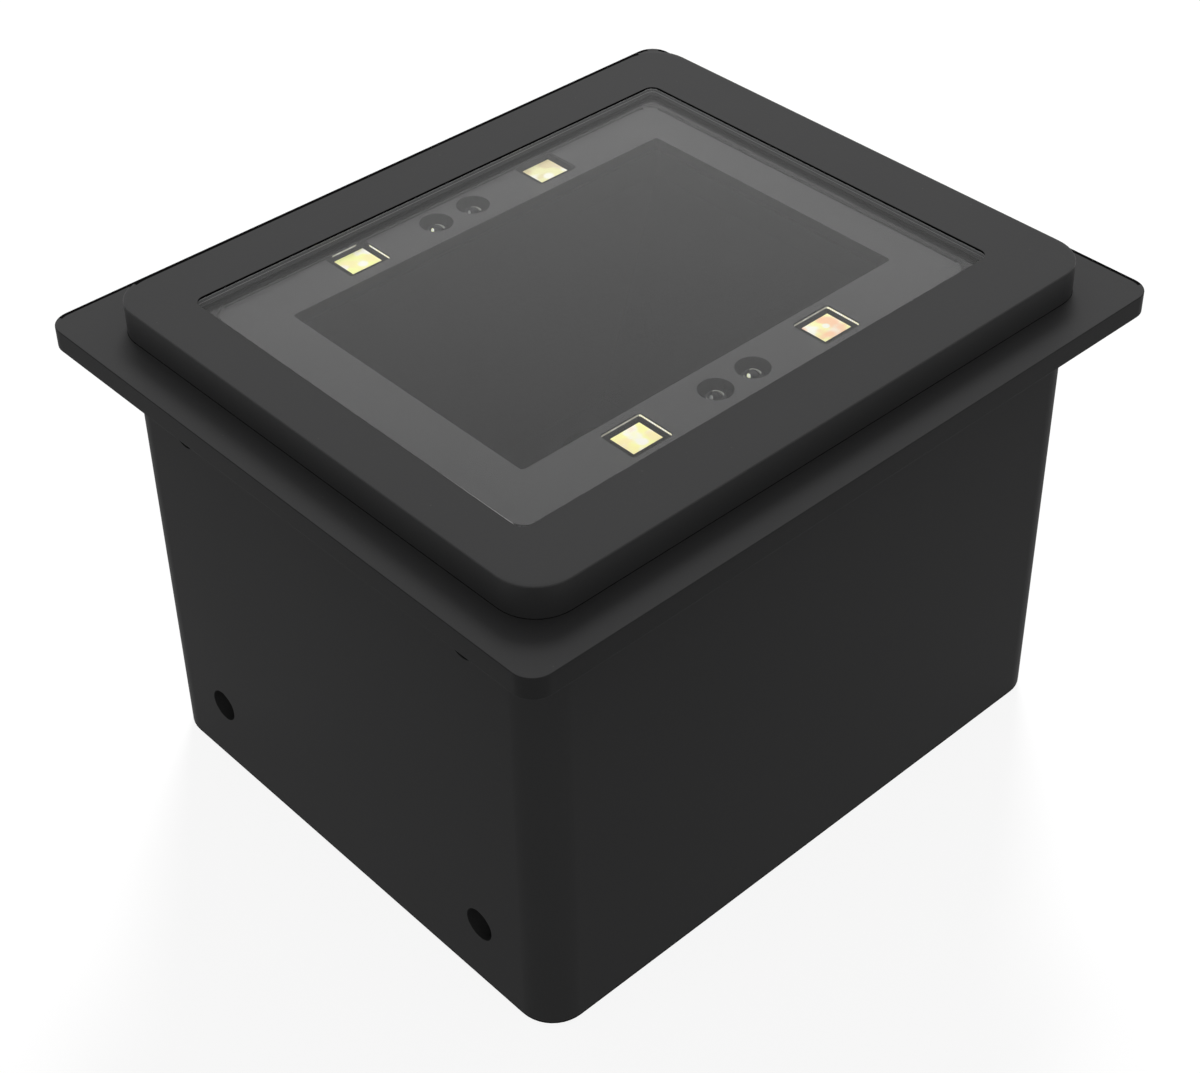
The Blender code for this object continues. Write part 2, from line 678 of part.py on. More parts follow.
def build_lights():
    """Ring-shaped LED board, four white LEDs in black collars and four domed aiming LEDs."""
    board = solid("led_board", block(mask_outline, led_board_bottom, led_board_top, LEDGE_CORNER), BOARD_GREEN)
    board_opening = mouth_outline.shrunk(-SEAT_GAP)
    cut(board, block(board_opening, led_board_bottom - OVERCUT, led_board_top + OVERCUT))
    led_height = mask_top - LED_DEPTH - led_seat
    body = block(Rect.around(0, 0, LED_LENGTH, LED_WIDTH), 0, led_height, top_break=LED_DEPTH / 4)
    repeated("illumination_led", solid("led_master", body, LED_PHOSPHOR), LED_PHOSPHOR, led_places, led_seat)
    collar_height = mask_top - COLLAR_DEPTH - led_seat
    ring = Rect.around(0, 0, collar_length, collar_width)
    collar = solid("collar_master", block(ring, 0, collar_height, COLLAR_WALL), SHROUD_BLACK)
    cut(collar, block(ring.shrunk(COLLAR_WALL), -OVERCUT, collar_height + OVERCUT))
    repeated("led_collar", collar, SHROUD_BLACK, led_places, led_seat)
    dome_steps = 6
    dome = [
        (
            AIMER_DOME_RADIUS * math.sin(math.pi / 2 * step / dome_steps),
            AIMER_BASE_HEIGHT + AIMER_DOME_RADIUS * math.cos(math.pi / 2 * step / dome_steps),
        )
        for step in range(dome_steps + 1)
    ]
    profile = dome + [(AIMER_BASE_RADIUS, AIMER_BASE_HEIGHT), (AIMER_BASE_RADIUS, 0), (0, 0)]
    aimer = turned("aimer_master", profile, LED_LENS, steps=SMALL_SIDES)
    repeated("aiming_led", aimer, LED_LENS, aimer_places, led_seat)


def build_light_shroud():
    """Black funnel behind the opening, with its plate, floor and the posts of the sensor board."""
    shroud = solid("light_shroud", block(plate_outline, plate_bottom, plate_top), SHROUD_BLACK)
    pedestal = mask_outline.shrunk(SEAT_GAP)
    join(
        shroud,
        block(pedestal, funnel_knee, pedestal_top, LEDGE_CORNER),
        block(mouth_outline, funnel_knee, mouth_top),
        funnel(funnel_mouth, funnel_end_outer, plate_top - FUNNEL_WALL / 4, funnel_knee, floor_middle),
        block(floor_outline, floor_bottom, floor_top, POST_RADIUS),
    )
    for x, y in post_places:
        join(shroud, rod(x, y, POST_RADIUS, post_bottom, floor_middle, SMALL_SIDES))
        pilot = SMALL_SHANK_RADIUS + THREAD_GAP
        cut(shroud, rod(x, y, pilot, post_bottom - OVERCUT, floor_bottom - SCREW_GAP / 2, SMALL_SIDES))
    cut(
        shroud,
        funnel(opening_outline, funnel_end, mouth_top + OVERCUT, funnel_knee, floor_top),
        rod(optical_x, optical_y, barrel_bore_radius, floor_bottom - OVERCUT, floor_top + OVERCUT),
    )
    for x, y in case_screw_places:
        notch = quadrant(x, y, -FRAME_BOSS_RADIUS - SEAT_GAP, skirt_outline)
        cut(shroud, block(notch, plate_bottom - OVERCUT, plate_top + OVERCUT))
    for x, y in shroud_screw_places:
        hole = SMALL_SHANK_RADIUS + SCREW_GAP
        cut(shroud, rod(x, y, hole, plate_bottom - OVERCUT, plate_top + OVERCUT, SMALL_SIDES))
    slot = Rect.around(flex_x, optical_y, FLEX_SLOT_WIDTH, FLEX_WIDTH + FLEX_SLOT_WIDTH)
    cut(shroud, block(slot, plate_bottom - OVERCUT, pedestal_top + OVERCUT))
    shank = PLATE_THICKNESS + SEAT_GAP * 2 + SHROUD_PILOT_DEPTH - SCREW_END_ROOM
    master = screw_master(SMALL_HEAD_RADIUS, SMALL_HEAD_HEIGHT, SMALL_SHANK_RADIUS, shank)
    repeated("shroud_screw", master, STEEL, shroud_screw_places, plate_bottom - SEAT_GAP)


def build_light_flex():
    """Flat cable that drops from the LED board past the funnel to its connector."""
    connector_top = sensor_board_top + SEAT_GAP + FLEX_CONNECTOR_HEIGHT
    route = [
        (flex_x, pedestal_top),
        (flex_x, plate_bottom - SEAT_GAP),
        (flex_drop_x, flex_drop),
        (flex_drop_x, (floor_bottom + connector_top) / 2),
        (flex_connector_x, connector_top + 2 * SEAT_GAP + FLEX_THICKNESS),
        (flex_connector_x, connector_top + SEAT_GAP),
    ]
    shape = bmesh.new()
    front = optical_y - FLEX_WIDTH / 2
    verts = [shape.verts.new((x, front, z)) for x, z in route]
    edges = [shape.edges.new(pair) for pair in zip(verts, verts[1:])]
    drawn = bmesh.ops.extrude_edge_only(shape, edges=edges)["geom"]
    moved = [item for item in drawn if isinstance(item, bmesh.types.BMVert)]
    bmesh.ops.translate(shape, verts=moved, vec=(0, FLEX_WIDTH, 0))
    bmesh.ops.recalc_face_normals(shape, faces=shape.faces)
    flex = solid("light_flex", shape, FLEX_AMBER)
    thick = flex.modifiers.new("thickness", "SOLIDIFY")
    thick.thickness = FLEX_THICKNESS
    thick.offset = 0
    connector = Rect.around(flex_connector_x, optical_y, FLEX_CONNECTOR_LENGTH, FLEX_WIDTH + 2 * FLEX_SLOT_WIDTH)
    connector_bottom = sensor_board_top + SEAT_GAP
    solid("flex_connector", block(connector, connector_bottom, connector_top), CONNECTOR_IVORY)


def build_camera():
    """Sensor board on the posts, with the image sensor, lens holder, barrel and front lens."""
    board = solid(
        "sensor_board",
        block(sensor_board_outline, sensor_board_bottom, sensor_board_top, HOUSING_WALL / 2),
        BOARD_GREEN,
    )
    for x, y in post_places:
        hole = SMALL_SHANK_RADIUS + SCREW_GAP
        low = sensor_board_bottom - OVERCUT
        cut(board, rod(x, y, hole, low, sensor_board_top + OVERCUT, SMALL_SIDES))
    seat = sensor_board_top + SEAT_GAP
    sensor = Rect.around(optical_x, optical_y, SENSOR_LENGTH, SENSOR_WIDTH)
    solid("image_sensor", block(sensor, seat, seat + SENSOR_HEIGHT, top_break=SENSOR_HEIGHT / 5), SENSOR_FACE)

    holder_outline = Rect.around(optical_x, optical_y, HOLDER_SIDE, HOLDER_SIDE)
    collar_top = floor_bottom - SEAT_GAP
    block_top = seat + HOLDER_BLOCK_HEIGHT
    holder = solid("lens_holder", block(holder_outline, seat, block_top, HOLDER_WALL / 2), SHROUD_BLACK)
    join(holder, rod(optical_x, optical_y, barrel_bore_radius + HOLDER_COLLAR_WALL, seat, collar_top))
    chamber_top = block_top - HOLDER_WALL / 2
    cut(
        holder,
        block(holder_outline.shrunk(HOLDER_WALL), seat - OVERCUT, chamber_top),
        rod(optical_x, optical_y, barrel_bore_radius, seat, collar_top + OVERCUT),
    )

    head_bottom = floor_top + SEAT_GAP
    head_top = head_bottom + BARREL_HEAD_HEIGHT
    barrel_bottom = collar_top - BARREL_REACH
    bore = BARREL_RADIUS - BARREL_WALL
    seat_radius = bore + BARREL_WALL / 2
    profile = [
        (seat_radius, head_top),
        (BARREL_HEAD_RADIUS, head_top),
        (BARREL_HEAD_RADIUS, head_bottom),
        (BARREL_RADIUS, head_bottom),
        (BARREL_RADIUS, barrel_bottom),
        (bore, barrel_bottom),
        (bore, head_top - LENS_SEAT_DEPTH),
        (seat_radius, head_top - LENS_SEAT_DEPTH),
    ]
    turned("lens_barrel", profile, BRASS_BLACK, (optical_x, optical_y, 0), closed=True)
    lens_bottom = head_top - LENS_SEAT_DEPTH + SEAT_GAP
    lens_radius = seat_radius - THREAD_GAP
    crown_steps = 5
    rim = lens_bottom + LENS_THICKNESS / 2
    crown = [
        (
            lens_radius * math.sin(math.pi / 2 * step / crown_steps),
            rim + LENS_THICKNESS / 2 * math.cos(math.pi / 2 * step / crown_steps),
        )
        for step in range(crown_steps + 1)
    ]
    turned("front_lens", crown + [(lens_radius, lens_bottom), (0, lens_bottom)], CLEAR_GLASS,
           (optical_x, optical_y, 0))

    shank = SENSOR_BOARD_THICKNESS + SEAT_GAP * 2 + POST_LENGTH - SCREW_END_ROOM
    master = screw_master(SMALL_HEAD_RADIUS, SMALL_HEAD_HEIGHT, SMALL_SHANK_RADIUS, shank)
    repeated("sensor_screw", master, STEEL, post_places, sensor_board_bottom - SEAT_GAP)


def build_main_board():
    """Decoder board with its chips, beeper and board link, and the screws that hold it."""
    board = solid("main_board", block(main_board_outline, main_board_bottom, main_board_top, HOUSING_WALL / 2),
                  BOARD_GREEN)
    for x, y in board_screw_places:
        hole = BOARD_SHANK_RADIUS + SCREW_GAP
        low = main_board_bottom - OVERCUT
        cut(board, rod(x, y, hole, low, main_board_top + OVERCUT, SMALL_SIDES))
    decoder = Rect.around(-CHIP_SPREAD, CHIP_OFFSET_Y, DECODER_SIDE, DECODER_SIDE)
    memory = Rect.around(CHIP_SPREAD, CHIP_OFFSET_Y, MEMORY_LENGTH, MEMORY_WIDTH)
    for name, outline, height in (
        ("decoder_chip", decoder, DECODER_HEIGHT),
        ("memory_chip", memory, MEMORY_HEIGHT),
    ):
        solid(name, block(outline, link_bottom, link_bottom + height, top_break=height / 6), CHIP_BLACK)
    link_y = sensor_board_outline.front + LINK_INSET
    plug = Rect.around(optical_x, link_y, link_length, LINK_WIDTH)
    link = solid("board_link", block(plug, link_bottom, link_bottom + LINK_HEIGHT * 0.6), CHIP_BLACK)
    join(link, block(plug.shrunk(LINK_WIDTH / 5), link_bottom, link_bottom + LINK_HEIGHT))
    top = main_board_bottom - SEAT_GAP
    beeper_round = BEEPER_RADIUS / 8
    profile = [
        (0, top),
        (BEEPER_RADIUS, top),
        (BEEPER_RADIUS, top - BEEPER_HEIGHT + beeper_round),
        (BEEPER_RADIUS - beeper_round, top - BEEPER_HEIGHT),
        (BEEPER_HOLE_RADIUS, top - BEEPER_HEIGHT),
        (BEEPER_HOLE_RADIUS, top - BEEPER_HEIGHT + BEEPER_HOLE_RADIUS),
        (0, top - BEEPER_HEIGHT + BEEPER_HOLE_RADIUS),
    ]
    turned("beeper", profile, CHIP_BLACK, (BEEPER_X, BEEPER_Y, 0))


def down_screws(name, places, seat, head_radius, head_height, shank_radius, length):
    """Screws that are driven from above, so their heads are uppermost."""
    master = screw_master(head_radius, head_height, shank_radius, length)
    data = evaluated_mesh(master)
    data.transform(Matrix.Rotation(math.pi, 4, "X"))
    for number, (x, y) in enumerate(places, start=1):
        piece(f"{name}_{number}", data, STEEL, (x, y, seat))


def build_cable_socket():
    """Modular socket that hangs under the main board, open to the rear with a latch slot."""
    socket_top = socket_bottom + SOCKET_HEIGHT
    socket = solid("cable_socket", block(socket_outline, socket_bottom, socket_top), CHIP_BLACK)
    cavity_back = socket_outline.back - PLUG_WALL
    plug = Rect(-PLUG_LENGTH / 2, PLUG_LENGTH / 2, cavity_back - PLUG_WIDTH, cavity_back)
    latch = Rect(-LATCH_LENGTH / 2, LATCH_LENGTH / 2, plug.front - LATCH_WIDTH, plug.y)
    step = Rect(-LATCH_STEP_LENGTH / 2, LATCH_STEP_LENGTH / 2, latch.front - LATCH_STEP_WIDTH, plug.y)
    low = socket_bottom - OVERCUT
    high = socket_bottom + PLUG_DEPTH
    cut(socket, block(plug, low, high), block(latch, low, high), block(step, low, high))


def build_rear_cover():
    """Cover inset in the housing, with board bosses, socket opening, seal and case screws."""
    corner = HOUSING_CORNER - HOUSING_WALL
    cover = solid(
        "rear_cover",
        block(cover_outline, 0, COVER_THICKNESS, corner, bottom_break=EDGE_BREAK),
        BLACK_PLASTIC,
    )
    boss_top = main_board_bottom - SEAT_GAP
    for x, y in board_screw_places:
        join(cover, rod(x, y, BOARD_BOSS_RADIUS, COVER_THICKNESS / 2, boss_top))
        pilot = BOARD_SHANK_RADIUS + THREAD_GAP
        cut(cover, rod(x, y, pilot, COVER_THICKNESS, boss_top + OVERCUT, SMALL_SIDES))
    head_room = CASE_HEAD_INSET + CASE_HEAD_HEIGHT + SEAT_GAP
    for x, y in case_screw_places:
        cut(
            cover,
            rod(x, y, CASE_HEAD_RADIUS + SCREW_GAP, -OVERCUT, head_room),
            rod(x, y, CASE_SHANK_RADIUS + SCREW_GAP, -OVERCUT, COVER_THICKNESS + OVERCUT, SMALL_SIDES),
        )
    cut(cover, block(socket_outline.shrunk(-SEAT_GAP), -OVERCUT, COVER_THICKNESS + OVERCUT))
    seal_top = seal_bottom + SEAL_THICKNESS
    seal = solid("rear_seal", block(cover_outline, seal_bottom, seal_top, corner), BLACK_RUBBER)
    cut(seal, block(cover_outline.shrunk(SEAL_WIDTH), seal_bottom - OVERCUT, seal_top + OVERCUT, corner))
    seat = CASE_HEAD_INSET + CASE_HEAD_HEIGHT
    tip = frame_ledge - PILOT_ROOF - SCREW_END_ROOM
    master = screw_master(CASE_HEAD_RADIUS, CASE_HEAD_HEIGHT, CASE_SHANK_RADIUS, tip - seat)
    repeated("case_screw", master, STEEL, case_screw_places, seat)


def main():
    """Build every piece."""
    build_housing()
    build_front_frame()
    build_window()
    build_light_mask()
    build_lights()
    build_light_shroud()
    build_light_flex()
    build_camera()
    build_main_board()
    down_screws(
        "board_screw", board_screw_places, main_board_top + SEAT_GAP,
        BOARD_HEAD_RADIUS, BOARD_HEAD_HEIGHT, BOARD_SHANK_RADIUS, BOARD_SCREW_LENGTH,
    )
    build_cable_socket()
    build_rear_cover()


main()
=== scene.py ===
"""Looks of a fixed barcode reader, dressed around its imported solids.

The reader stands on its rear face with the window up. Each sub-assembly is a class: it reads the
places of its solids from the frame, builds the meshes that the eye sees and gives every piece its
finish. All lengths are in metres.
"""

from __future__ import annotations

import logging
import math
from collections.abc import Sequence
from dataclasses import dataclass, replace
from enum import Enum
from typing import Any

import bmesh
import bpy
from mathutils import Matrix, Vector

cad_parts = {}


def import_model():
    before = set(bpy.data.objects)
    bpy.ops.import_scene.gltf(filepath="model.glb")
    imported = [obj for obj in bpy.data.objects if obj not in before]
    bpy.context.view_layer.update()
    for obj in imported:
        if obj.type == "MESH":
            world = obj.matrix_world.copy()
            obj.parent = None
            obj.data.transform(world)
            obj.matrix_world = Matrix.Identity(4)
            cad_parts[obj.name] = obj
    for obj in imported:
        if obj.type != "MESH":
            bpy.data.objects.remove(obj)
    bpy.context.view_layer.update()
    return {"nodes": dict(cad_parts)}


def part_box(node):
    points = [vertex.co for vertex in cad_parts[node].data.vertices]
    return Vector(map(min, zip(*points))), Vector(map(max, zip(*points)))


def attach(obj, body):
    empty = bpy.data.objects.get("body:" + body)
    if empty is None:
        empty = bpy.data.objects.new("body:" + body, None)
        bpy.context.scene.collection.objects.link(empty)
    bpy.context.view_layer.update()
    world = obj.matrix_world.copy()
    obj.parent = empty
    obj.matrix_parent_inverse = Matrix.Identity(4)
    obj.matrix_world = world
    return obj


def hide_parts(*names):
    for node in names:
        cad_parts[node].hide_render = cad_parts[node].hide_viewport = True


LOG = logging.getLogger("reader")

MM = 0.001
BODY = "root"
SEAT_GAP = 0.3 * MM
MASK_LIP = 0.42 * MM
# Plan direction of the aimers' rim faces that get the glowing painted highlight.
RIM_HIGHLIGHT_FACING = Vector((-0.97, -0.24, 0.0))
CORNER_STEPS = 10
FILLET_STEPS = 4
DOME_STEPS = 20
LATHE_STEPS = 48
FINE_LATHE_STEPS = 96
NEARLY_ROUND = 0.999
SHARP_ANGLE = math.radians(35)
HAIR = 0.01 * MM

# Shares of a face's normal along an axis, above which it looks that way
LEVEL = 0.95
HALFWAY = 0.5
SQUARE = 0.7
SLIGHT = 0.1

FOURS = range(1, 5)
NUMBER_RESULTS = ("DOT_PRODUCT", "DISTANCE", "LENGTH")
WHITE = (1.0, 1.0, 1.0)
BLACK = (0.0, 0.0, 0.0)

Colour = tuple[float, float, float]
Socket = bpy.types.NodeSocket
Inputs = dict[Any, Any]
Shape = bmesh.types.BMesh
Nodes = dict[str, bpy.types.Object]


# Wiring of node trees


class Wiring:
    """Adds nodes to one tree and links them."""

    def __init__(self, tree: bpy.types.NodeTree) -> None:
        """Keep the tree that the nodes go into.

        Args:
            tree: The node tree of a material, a world or a group.
        """
        self.tree = tree

    @classmethod
    def of(cls, owner: bpy.types.Material | bpy.types.World) -> Wiring:
        """Turn on a material's or a world's nodes and clear them.

        Args:
            owner: The material or the world.

        Returns:
            The wiring of its tree.
        """
        owner.use_nodes = True
        owner.node_tree.nodes.clear()
        return cls(owner.node_tree)

    def feed(self, node: bpy.types.Node, inputs: Inputs) -> None:
        """Link source sockets to a node's inputs, or set the inputs' own values.

        Args:
            node: The node to feed.
            inputs: A source socket, number or colour for each input, by name or place.
        """
        for key, value in inputs.items():
            socket = node.inputs[key]
            if isinstance(value, Socket):
                self.tree.links.new(value, socket)
            elif socket.type == "RGBA":
                socket.default_value = (*value, 1.0)
            else:
                socket.default_value = value

    def add(self, kind: str, inputs: Inputs | None = None, **settings: Any) -> bpy.types.Node:
        """Add one node.

        Args:
            kind: Blender's type name of the node, without its ShaderNode prefix.
            inputs: What its inputs are fed.
            settings: Values for the node's own properties.

        Returns:
            The new node.
        """
        node = self.tree.nodes.new(kind if kind.startswith("Node") else f"ShaderNode{kind}")
        for name, value in settings.items():
            setattr(node, name, value)
        self.feed(node, inputs or {})
        return node

    def maths(self, operation: str, *values: Any, clamp: bool = False) -> Socket:
        """Add a Math node.

        Args:
            operation: Blender's name of the operation.
            values: The operands, as numbers or source sockets.
            clamp: Whether the result is held between 0 and 1.

        Returns:
            The result.
        """
        inputs = dict(enumerate(values))
        return self.add("Math", inputs, operation=operation, use_clamp=clamp).outputs[0]

    def product(self, first: Any, *others: Any) -> Socket:
        """Multiply values.

        Args:
            first: The first value.
            others: The values that it is multiplied by.

        Returns:
            The product.
        """
        for other in others:
            first = self.maths("MULTIPLY", first, other)
        return first

    def vector(self, operation: str, *values: Any) -> Socket:
        """Add a Vector Math node.

        Args:
            operation: Blender's name of the operation.
            values: The operands.

        Returns:
            The result, which is a number for some operations.
        """
        outputs = self.add("VectorMath", dict(enumerate(values)), operation=operation).outputs
        return outputs["Value" if operation in NUMBER_RESULTS else "Vector"]

    def blend(self, share: Any, first: Any, second: Any, mode: str = "MIX") -> Socket:
        """Add a colour Mix node.

        Args:
            share: How much of the second colour shows.
            first: The colour at a share of 0.
            second: The colour at a share of 1.
            mode: Blender's name of the blend mode.

        Returns:
            The mixed colour.
        """
        inputs = {0: share, 6: first, 7: second}
        return self.add("Mix", inputs, data_type="RGBA", blend_type=mode).outputs[2]

    def shade(self, colour: Any, gain: Socket) -> Socket:
        """Multiply a colour by a number.

        Args:
            colour: The colour.
            gain: The number.

        Returns:
            The shaded colour.
        """
        tint = self.add("CombineColor", {0: gain, 1: gain, 2: gain}).outputs[0]
        return self.blend(1.0, colour, tint, "MULTIPLY")

    def ramp(self, value: Any, low: float, high: float) -> Socket:
        """Stretch the range between two values to 0 and 1, with soft ends.

        Args:
            value: The source socket.
            low: The value that becomes 0.
            high: The value that becomes 1.

        Returns:
            The stretched value.
        """
        inputs = {"Value": value, "From Min": low, "From Max": high}
        return self.add("MapRange", inputs, interpolation_type="SMOOTHSTEP").outputs[0]

    def noise(self, place: Socket, scale: Any, detail: float, roughness: float) -> Socket:
        """Add a Noise Texture node.

        Args:
            place: The place to read the noise at.
            scale: Its scale.
            detail: How many finer layers it has.
            roughness: How strong the finer layers are.

        Returns:
            The noise.
        """
        inputs = {"Vector": place, "Scale": scale, "Detail": detail, "Roughness": roughness}
        return self.add("TexNoise", inputs).outputs[0]


class Effect(Wiring):
    """A shader node group with named inputs and outputs, built once and placed in many materials.

    Attributes:
        title: The group's name.
        inputs: Its inputs with their defaults; a colour has Colour in its name.
        outputs: The names of its outputs, in the order in which wire gives them.
        source: The sockets of its inputs, by name.
        place: The place on the piece itself.
    """

    title: str = ""
    inputs: Inputs = {}
    outputs: tuple[str, ...] = ()

    @classmethod
    def group(cls) -> bpy.types.NodeTree:
        """Return the effect's node group, which is built at its first use.

        Returns:
            The shader node group.
        """
        tree = bpy.data.node_groups.get(cls.title)
        if tree is not None:
            return tree
        tree = bpy.data.node_groups.new(cls.title, "ShaderNodeTree")
        for side, names in (("INPUT", cls.inputs), ("OUTPUT", cls.outputs)):
            for name in names:
                kind = "NodeSocketColor" if "Colour" in name else "NodeSocketFloat"
                socket = tree.interface.new_socket(name=name, in_out=side, socket_type=kind)
                if side == "INPUT":
                    value = cls.inputs[name]
                    socket.default_value = (*value, 1.0) if "Colour" in name else value
        effect = cls(tree)
        effect.source = effect.add("NodeGroupInput").outputs
        effect.place = effect.add("TexCoord").outputs["Object"]
        effect.add("NodeGroupOutput", dict(zip(cls.outputs, effect.wire())))
        return tree

    @classmethod
    def use(cls, wiring: Wiring, **values: Any) -> dict[str, Socket]:
        """Place the effect in a material.

        Args:
            wiring: The wiring of the material's tree.
            values: A value or source socket for each input that isn't left at its default. Its
                key is the input's name in small letters, joined by underscores.

        Returns:
            The outputs of the placed group, by name.
        """
        inputs = {name.replace("_", " ").title(): value for name, value in values.items()}
        node = wiring.add("Group", node_tree=cls.group())
        wiring.feed(node, inputs)
        return {output.name: output for output in node.outputs}

    def wire(self) -> tuple[Socket, ...]:
        """Add the effect's nodes.

        Returns:
            The socket for each output.
        """
        raise NotImplementedError

    def swing(self, value: Socket, name: str) -> Socket:
        """Centre a noise on 0 and scale it.

        Args:
            value: The noise.
            name: The name of the group's input that it is scaled by.

        Returns:
            The scaled noise.
        """
        return self.product(self.maths("SUBTRACT", value, 0.5), self.source[name])

    def cells(self, scale: Any) -> Any:
        """Add a Voronoi Texture node.

        Args:
            scale: Its scale.

        Returns:
            Its outputs, by name.
        """
        return self.add("TexVoronoi", {"Vector": self.place, "Scale": scale}).outputs

    def flat_place(self) -> Socket:
        """Take the height out of the place.

        Returns:
            The place in plan.
        """
        parts = self.add("SeparateXYZ", {0: self.place}).outputs
        return self.add("CombineXYZ", {0: parts[0], 1: parts[1], 2: 0.0}).outputs[0]


class MouldGrain(Effect):
    """Fine pits of a spark-eroded mould, with faint patches where the plastic flowed."""

    title = "mould_grain"
    inputs = {
        "Colour": (0.03, 0.03, 0.03),
        "Patch": 0.1,
        "Grain Size": 0.15 * MM,
        "Roughness": 0.5,
        "Spread": 0.1,
    }
    outputs = ("Colour", "Roughness", "Height")
    coarse_scale = 0.31
    coarse_height = 0.5
    patch_scale = 55.0

    def wire(self) -> tuple[Socket, ...]:
        """Mix two sizes of grain for the height and slow patches for colour and roughness.

        Returns:
            The colour, the roughness and the height.
        """
        scale = self.maths("DIVIDE", 1.0, self.source["Grain Size"])
        fine = self.noise(self.place, scale, detail=2.0, roughness=0.6)
        coarse = self.cells(self.product(scale, self.coarse_scale))["Distance"]
        height = self.maths("MULTIPLY_ADD", coarse, self.coarse_height, fine)
        patch = self.noise(self.place, self.patch_scale, detail=3.0, roughness=0.55)
        both = self.maths("ADD", self.swing(patch, "Patch"), self.swing(fine, "Patch"))
        colour = self.shade(self.source["Colour"], self.maths("ADD", both, 1.0))
        swing = self.swing(patch, "Spread")
        return colour, self.maths("ADD", self.source["Roughness"], swing, clamp=True), height


class RubbedEdges(Effect):
    """Edges rubbed a little paler and smoother by handling."""

    title = "rubbed_edges"
    inputs = {
        "Colour": (0.03, 0.03, 0.03),
        "Rubbed Colour": (0.1, 0.1, 0.1),
        "Roughness": 0.5,
        "Reach": 0.3 * MM,
        "Amount": 0.5,
    }
    outputs = ("Colour", "Roughness")
    patch_scale = 420.0
    smoothing = 0.25

    def wire(self) -> tuple[Socket, ...]:
        """Find edges by how far the rounded normal leans away, broken up by noise.

        Returns:
            The colour and the roughness.
        """
        rounded = self.add("Bevel", {"Radius": self.source["Reach"]}, samples=4).outputs[0]
        alike = self.vector("DOT_PRODUCT", rounded, self.add("NewGeometry").outputs["Normal"])
        lean = self.ramp(self.maths("SUBTRACT", 1.0, alike), low=0.01, high=0.16)
        patch = self.noise(self.place, self.patch_scale, detail=4.0, roughness=0.7)
        share = self.product(lean, patch, self.source["Amount"])
        colour = self.blend(share, self.source["Colour"], self.source["Rubbed Colour"])
        smoother = self.product(share, self.smoothing)
        return colour, self.maths("SUBTRACT", self.source["Roughness"], smoother, clamp=True)


class SettledDust(Effect):
    """Sparse specks of dust on faces that look up."""

    title = "settled_dust"
    inputs = {"Colour": (0.03, 0.03, 0.03), "Dust Colour": (0.4, 0.39, 0.37), "Amount": 0.3}
    outputs = ("Colour",)
    speck_scale = 900.0
    empty_share = 0.86

    def wire(self) -> tuple[Socket, ...]:
        """Keep the cores of a few Voronoi cells on the faces that look up.

        Returns:
            The colour.
        """
        cells = self.cells(self.speck_scale)
        rim = self.ramp(cells["Distance"], low=0.02, high=0.09)
        core = self.maths("SUBTRACT", 1.0, rim)
        pick = self.add("SeparateColor", {0: cells["Color"]}).outputs[0]
        few = self.maths("GREATER_THAN", pick, self.empty_share)
        up = self.add("SeparateXYZ", {0: self.add("NewGeometry").outputs["Normal"]}).outputs[2]
        level = self.ramp(up, low=0.5, high=0.95)
        share = self.product(core, few, level, self.source["Amount"])
        return (self.blend(share, self.source["Colour"], self.source["Dust Colour"]),)


class Mottle(Effect):
    """Three colours in soft patches and one hot spot, as on a cast face."""

    title = "mottle"
    inputs = {
        "First Colour": (1.0, 0.95, 0.7),
        "Second Colour": (1.0, 1.0, 0.95),
        "Third Colour": (1.0, 0.8, 0.6),
        "Patch Size": 0.8 * MM,
        "Shift": 0.0,
        "Third Share": 0.5,
        "Spot X": 0.0,
        "Spot Y": 0.0,
        "Spot Size": 0.5 * MM,
    }
    outputs = ("Colour", "Height")
    second_shift = (0.013, 0.021, 0.005)

    def wire(self) -> tuple[Socket, ...]:
        """Blend the colours by two noises that are shifted against each other.

        Returns:
            The colour and the height.
        """
        source = self.source
        place = self.vector("ADD", self.place, source["Shift"])
        scale = self.maths("DIVIDE", 1.0, source["Patch Size"])
        one = self.noise(place, scale, detail=1.5, roughness=0.45)
        shifted = self.vector("ADD", place, self.second_shift)
        two = self.noise(shifted, scale, detail=1.0, roughness=0.4)
        white = self.ramp(one, low=0.48, high=0.64)
        colour = self.blend(white, source["First Colour"], source["Second Colour"])
        third = self.product(self.ramp(two, low=0.42, high=0.62), source["Third Share"])
        colour = self.blend(third, colour, source["Third Colour"])
        spot = self.add("CombineXYZ", {0: source["Spot X"], 1: source["Spot Y"], 2: 0.0})
        far = self.vector("DISTANCE", self.flat_place(), spot.outputs[0])
        ragged = self.product(far, self.maths("ADD", one, 0.5))
        edge = self.ramp(self.maths("DIVIDE", ragged, source["Spot Size"]), low=0.7, high=1.3)
        near = self.maths("SUBTRACT", 1.0, edge)
        return self.blend(near, colour, source["Second Colour"]), one


class FoamPores(Effect):
    """Closed pores of cellular rubber."""

    title = "foam_pores"
    inputs = {"Colour": (0.02, 0.02, 0.02), "Pore Size": 0.2 * MM, "Roughness": 0.85}
    outputs = ("Colour", "Roughness", "Height")

    def wire(self) -> tuple[Socket, ...]:
        """Use cell walls for the height and darken the middle of each pore.

        Returns:
            The colour, the roughness and the height.
        """
        cells = self.cells(self.maths("DIVIDE", 1.0, self.source["Pore Size"]))
        wall = self.ramp(cells["Distance"], low=0.15, high=0.6)
        colour = self.shade(self.source["Colour"], self.maths("MULTIPLY_ADD", wall, 0.5, 0.7))
        rough = self.maths("MULTIPLY_ADD", wall, 0.1, self.source["Roughness"], clamp=True)
        return colour, rough, wall


